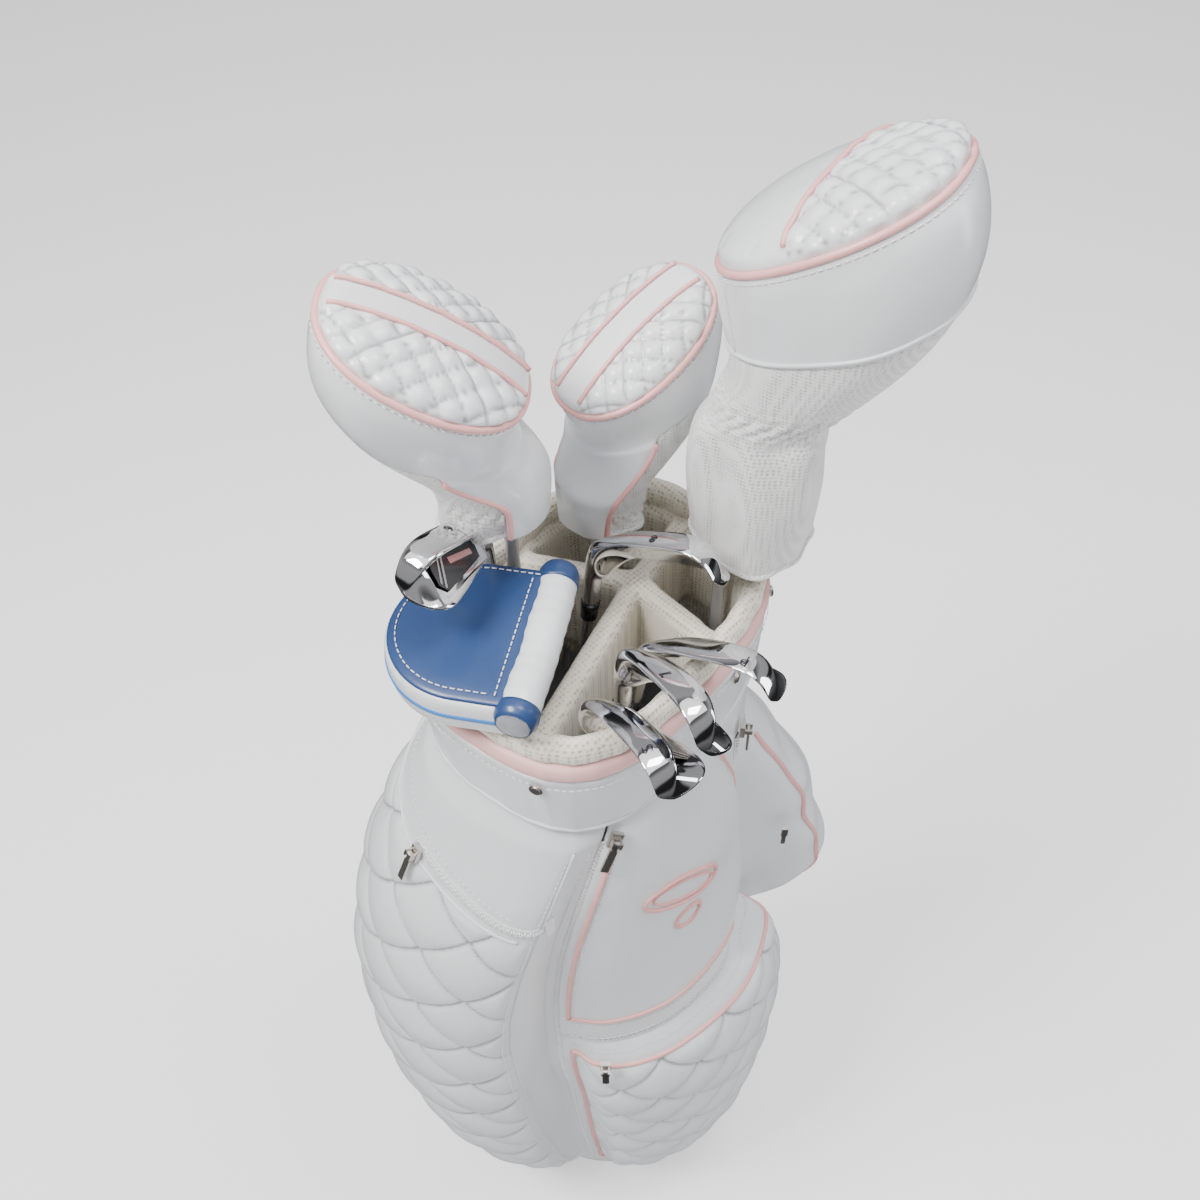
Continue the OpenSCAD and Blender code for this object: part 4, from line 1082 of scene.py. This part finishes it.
def strip_panel(X, Y):
    quilted = ease((np.abs(Y) - 11) / 2.5)
    return quilted * (4.0 * quilt(X, Y, 20) - 1.4), seam_mask(X, Y, 20, 0.9) * quilted


fairway_keys = [(19, 2, 2, 41, 20, 32), (17, 30, 24, 41, 20, 32), (10, 60, 48, 41, 20, 32), (1, 67, 55, 41, 20, 31), (-14, 68, 56, 40, 20, 29),
                (-32, 64, 53, 36, 18, 24), (-50, 55, 48, 29, 14, 16), (-66, 47, 43, 20, 10, 9), (-80, 41, 39, 13, 7, 3), (-94, 38, 37, 10, 5, 0),
                (-108, 38, 37, 9, 5, 0), (-126, 36, 35, 9, 5, 0)]
fM, f_top, f_N, f_t, f_rows, fX, fY = build_wood_cover("fairway", fairway_keys, 3.0, 6.2, 9.6, strip_panel, (200, 105, -12))
for side in (-1, 1):
    cp, cn = surface_line(f_top, f_N, fX, fY, [(x, side * 11) for x in np.linspace(-62, 62, 60)])
    tube("fairway_panel_line_" + ("a" if side < 0 else "b"), smooth_line(cp), 0.0015, PINK, "fairway_headcover")


def hybrid_panel(X, Y):
    quilted = ease((np.abs(Y) - 12) / 2.5)
    return quilted * (3.4 * quilt(X, Y, 19) - 1.2), seam_mask(X, Y, 19, 0.9) * quilted


hybrid_keys = [(19, 2, 2, 39, 14, 32), (17, 28, 19, 39, 14, 32), (10, 58, 38, 39, 14, 32), (1, 65, 45, 39, 14, 31), (-14, 66, 47, 38, 14, 29),
               (-32, 60, 45, 35, 13, 24), (-50, 53, 41, 27, 10, 16), (-66, 45, 37, 16, 8, 9), (-80, 38, 33, 9, 6, 3), (-92, 32, 30, 8, 5, 0),
               (-104, 31, 29, 7, 5, 0), (-116, 30, 28, 7, 5, 0)]
hM, h_top, h_N, h_t, h_rows, hX, hY = build_wood_cover("hybrid", hybrid_keys, 3.0, 5.4, 9.8, hybrid_panel, (185, 70, -8))
for side in (-1, 1):
    cp, cn = surface_line(h_top, h_N, hX, hY, [(x, side * 12) for x in np.linspace(-58, 58, 60)])
    tube("hybrid_panel_line_" + ("a" if side < 0 else "b"), smooth_line(cp), 0.0015, PINK, "hybrid_headcover")

# putter cover: a padded mallet pad with a rolled white spine over the face
pM = club_frame("putter")
HALF, DEEP, CX, Y0 = 61, 114, -2, -22


def d_outline(grow, start=4):
    """The pad's D outline, starting at the face's heel corner."""
    pts = []
    h, r = HALF + grow, HALF + grow
    straight = DEEP - HALF
    for y in np.linspace(Y0 + start, Y0 + straight, 22):
        pts.append((CX + h, y))
    for a in np.linspace(0, 180, 60):
        pts.append((CX + r * math.cos(math.radians(a)), Y0 + straight + r * math.sin(math.radians(a))))
    for y in np.linspace(Y0 + straight, Y0 + start, 22):
        pts.append((CX - h, y))
    for x in np.linspace(CX - h, CX + h, 32)[1:-1]:
        pts.append((x, Y0 + start))
    return pts


def d_pad(name, levels, mat, node=None, cap_low=False, cap_high=True, start=4):
    V = []
    for grow, z in levels:
        V += [(x * mm, y * mm, z * mm) for x, y in d_outline(grow, start + max(0, -grow - 3) * 0.7)]
    m = len(V) // len(levels)
    F = grid_faces(len(levels), m)
    if cap_high:
        F.append(tuple((len(levels) - 1) * m + k for k in range(m)))
    if cap_low:
        F.append(tuple(range(m))[::-1])
    return make(name, place(pM, V), F, mat, "putter_headcover", node, subdiv=1)


d_pad("putter_cover_side", [(-4, -28), (-1, -27.5), (0.6, -24), (1.2, -12), (0.8, -2), (-1.5, 1.2), (-5, 1.5)], COVER, "putter_cover", False, True)
levels = [(-3.2, -1.0), (-1.4, 1.6), (-2.0, 3.0), (-4.5, 4.2), (-10, 5.2), (-20, 6.0), (-32, 6.5), (-44, 6.7), (-54, 6.8)]
d_pad("putter_cover_top", levels, NAVY, start=17)
d_pad("putter_cover_stripe", [(1.0, -15), (2.0, -14.6), (2.0, -11.4), (1.0, -11)], BLUE, cap_high=False)
out = d_outline(-8, 17)
P3 = place(pM, [(x * mm, y * mm, 5.2 * mm) for x, y in out[2:-34]])
stitches("putter_top_stitch", P3, [tuple(np.array(pM)[:3, 2])] * len(P3), THREAD, "putter_headcover")
spine = []
for x in np.linspace(-HALF - 6, HALF + 6, 60):
    t = abs(x) / (HALF + 6)
    spine.append((CX + x, Y0 + 8 + 2.0 * t * t, -5 + 0.8 * math.sin(x * 0.12)))
radii = [14 * (1 - max(0, (abs(x) - 62) / 30)) + 0.25 * math.sin(x * 0.5) for x in np.linspace(-HALF - 6, HALF + 6, 60)]
tube("putter_spine", place(pM, np.array(spine) * mm), np.array(radii) * mm, COVER, "putter_headcover", sides=28, flat=1.0,
     up=[tuple(np.array(pM)[:3, 2])] * 60)
for side, sl in ((-1, slice(0, 7)), (1, slice(53, 60))):
    tube("putter_spine_cap_" + ("a" if side < 0 else "b"), place(pM, np.array(spine)[sl] * mm), np.array(radii)[sl] * mm + 0.0009, NAVY, "putter_headcover",
         sides=28, flat=1.0, up=[tuple(np.array(pM)[:3, 2])] * 7)
sp = place(pM, [(x * mm, (Y0 + 24.5) * mm, 5.9 * mm) for x in np.linspace(CX - 54, CX + 54, 40)])
stitches("putter_spine_stitch", sp, [tuple(np.array(pM)[:3, 2])] * 40, THREAD, "putter_headcover")

# ---------------------------------------------------------------- stage, light and camera

floor = bpy.data.meshes.new("floor")
floor.from_pydata([(-25, -25, -0.0005), (25, -25, -0.0005), (25, 25, -0.0005), (-25, 25, -0.0005)], [], [(0, 1, 2, 3)])
floor_o = bpy.data.objects.new("floor", floor)
bpy.context.scene.collection.objects.link(floor_o)
floor.materials.append(material("floor_paint", (0.93, 0.93, 0.935), 0.6, tint=0.01, bumps=((3, 0.02, 0.01),)))
floor_o.visible_glossy = False
glow = floor.materials[0].node_tree.nodes["Principled BSDF"]
glow.inputs["Emission Color"].default_value = (1, 1, 1, 1)
glow.inputs["Emission Strength"].default_value = 0.50

world = bpy.data.worlds.new("studio")
bpy.context.scene.world = world
world.use_nodes = True
nt = world.node_tree
bg = nt.nodes["Background"]
co = nt.nodes.new("ShaderNodeTexCoord")
sep = nt.nodes.new("ShaderNodeSeparateXYZ")
nt.links.new(co.outputs["Generated"], sep.inputs[0])
ramp = nt.nodes.new("ShaderNodeValToRGB")
e = ramp.color_ramp.elements
e[0].position, e[0].color = 0.0, (0.12, 0.12, 0.13, 1)
e[1].position, e[1].color = 1.0, (1.0, 1.0, 1.0, 1)
for pos, v in ((0.30, 0.05), (0.46, 0.42), (0.51, 0.04), (0.60, 0.05), (0.64, 0.85), (0.80, 0.95), (0.88, 0.25)):
    x = e.new(pos)
    x.color = (v, v, v * 1.02, 1)
half = nt.nodes.new("ShaderNodeMath")
half.operation = "MULTIPLY_ADD"
half.inputs[1].default_value = 0.5
half.inputs[2].default_value = 0.5
nt.links.new(sep.outputs[2], half.inputs[0])
nt.links.new(half.outputs[0], ramp.inputs[0])
lp = nt.nodes.new("ShaderNodeLightPath")
mix = nt.nodes.new("ShaderNodeMix")
mix.data_type = "RGBA"
mix.inputs[6].default_value = (0.92, 0.92, 0.93, 1)
nt.links.new(lp.outputs["Is Glossy Ray"], mix.inputs[0])
nt.links.new(ramp.outputs[0], mix.inputs[7])
nt.links.new(mix.outputs[2], bg.inputs["Color"])
bg.inputs["Strength"].default_value = 0.40


def area(name, loc, target, size, power, color=(1, 1, 1)):
    l = bpy.data.lights.new(name, "AREA")
    l.shape = "RECTANGLE"
    l.size, l.size_y = size
    l.energy = power
    l.color = color
    o = bpy.data.objects.new(name, l)
    o.location = loc
    o.rotation_euler = (Vector(target) - Vector(loc)).to_track_quat("-Z", "Y").to_euler()
    bpy.context.scene.collection.objects.link(o)
    return o


area("key", (-1.1, 0.35, 2.6), (0, 0, 0.8), (0.8, 0.6), 62, (1, 0.99, 0.97))
area("top", (0.5, -0.5, 3.2), (0, 0, 0.9), (0.9, 0.9), 30, (0.97, 0.98, 1))
area("side", (1.7, -1.7, 1.3), (0, 0, 0.6), (0.5, 1.6), 16, (0.96, 0.98, 1))
area("wash", (0, 0, 4.5), (0, 0, 0), (5, 5), 120)

cam = bpy.data.cameras.new("camera")
cam.sensor_width = 36
cam.lens = 37.56
cam_o = bpy.data.objects.new("camera", cam)
bpy.context.scene.collection.objects.link(cam_o)
phi, pitch, roll_deg, back_r, high, shift = math.radians(-44), math.radians(49.15), math.radians(-1.49), 0.590, 1.571, 0.0027
right = Vector((math.cos(phi), math.sin(phi), 0))
back = Vector((math.sin(phi), -math.cos(phi), 0))
fwd = -back * math.cos(pitch) - Vector((0, 0, 1)) * math.sin(pitch)
up = right.cross(fwd)
r2 = right * math.cos(roll_deg) + up * math.sin(roll_deg)
u2 = up * math.cos(roll_deg) - right * math.sin(roll_deg)
m = Matrix((r2, u2, -fwd)).transposed().to_4x4()
m.translation = back * back_r + right * shift + Vector((0, 0, high))
cam_o.matrix_world = m
bpy.context.scene.camera = cam_o
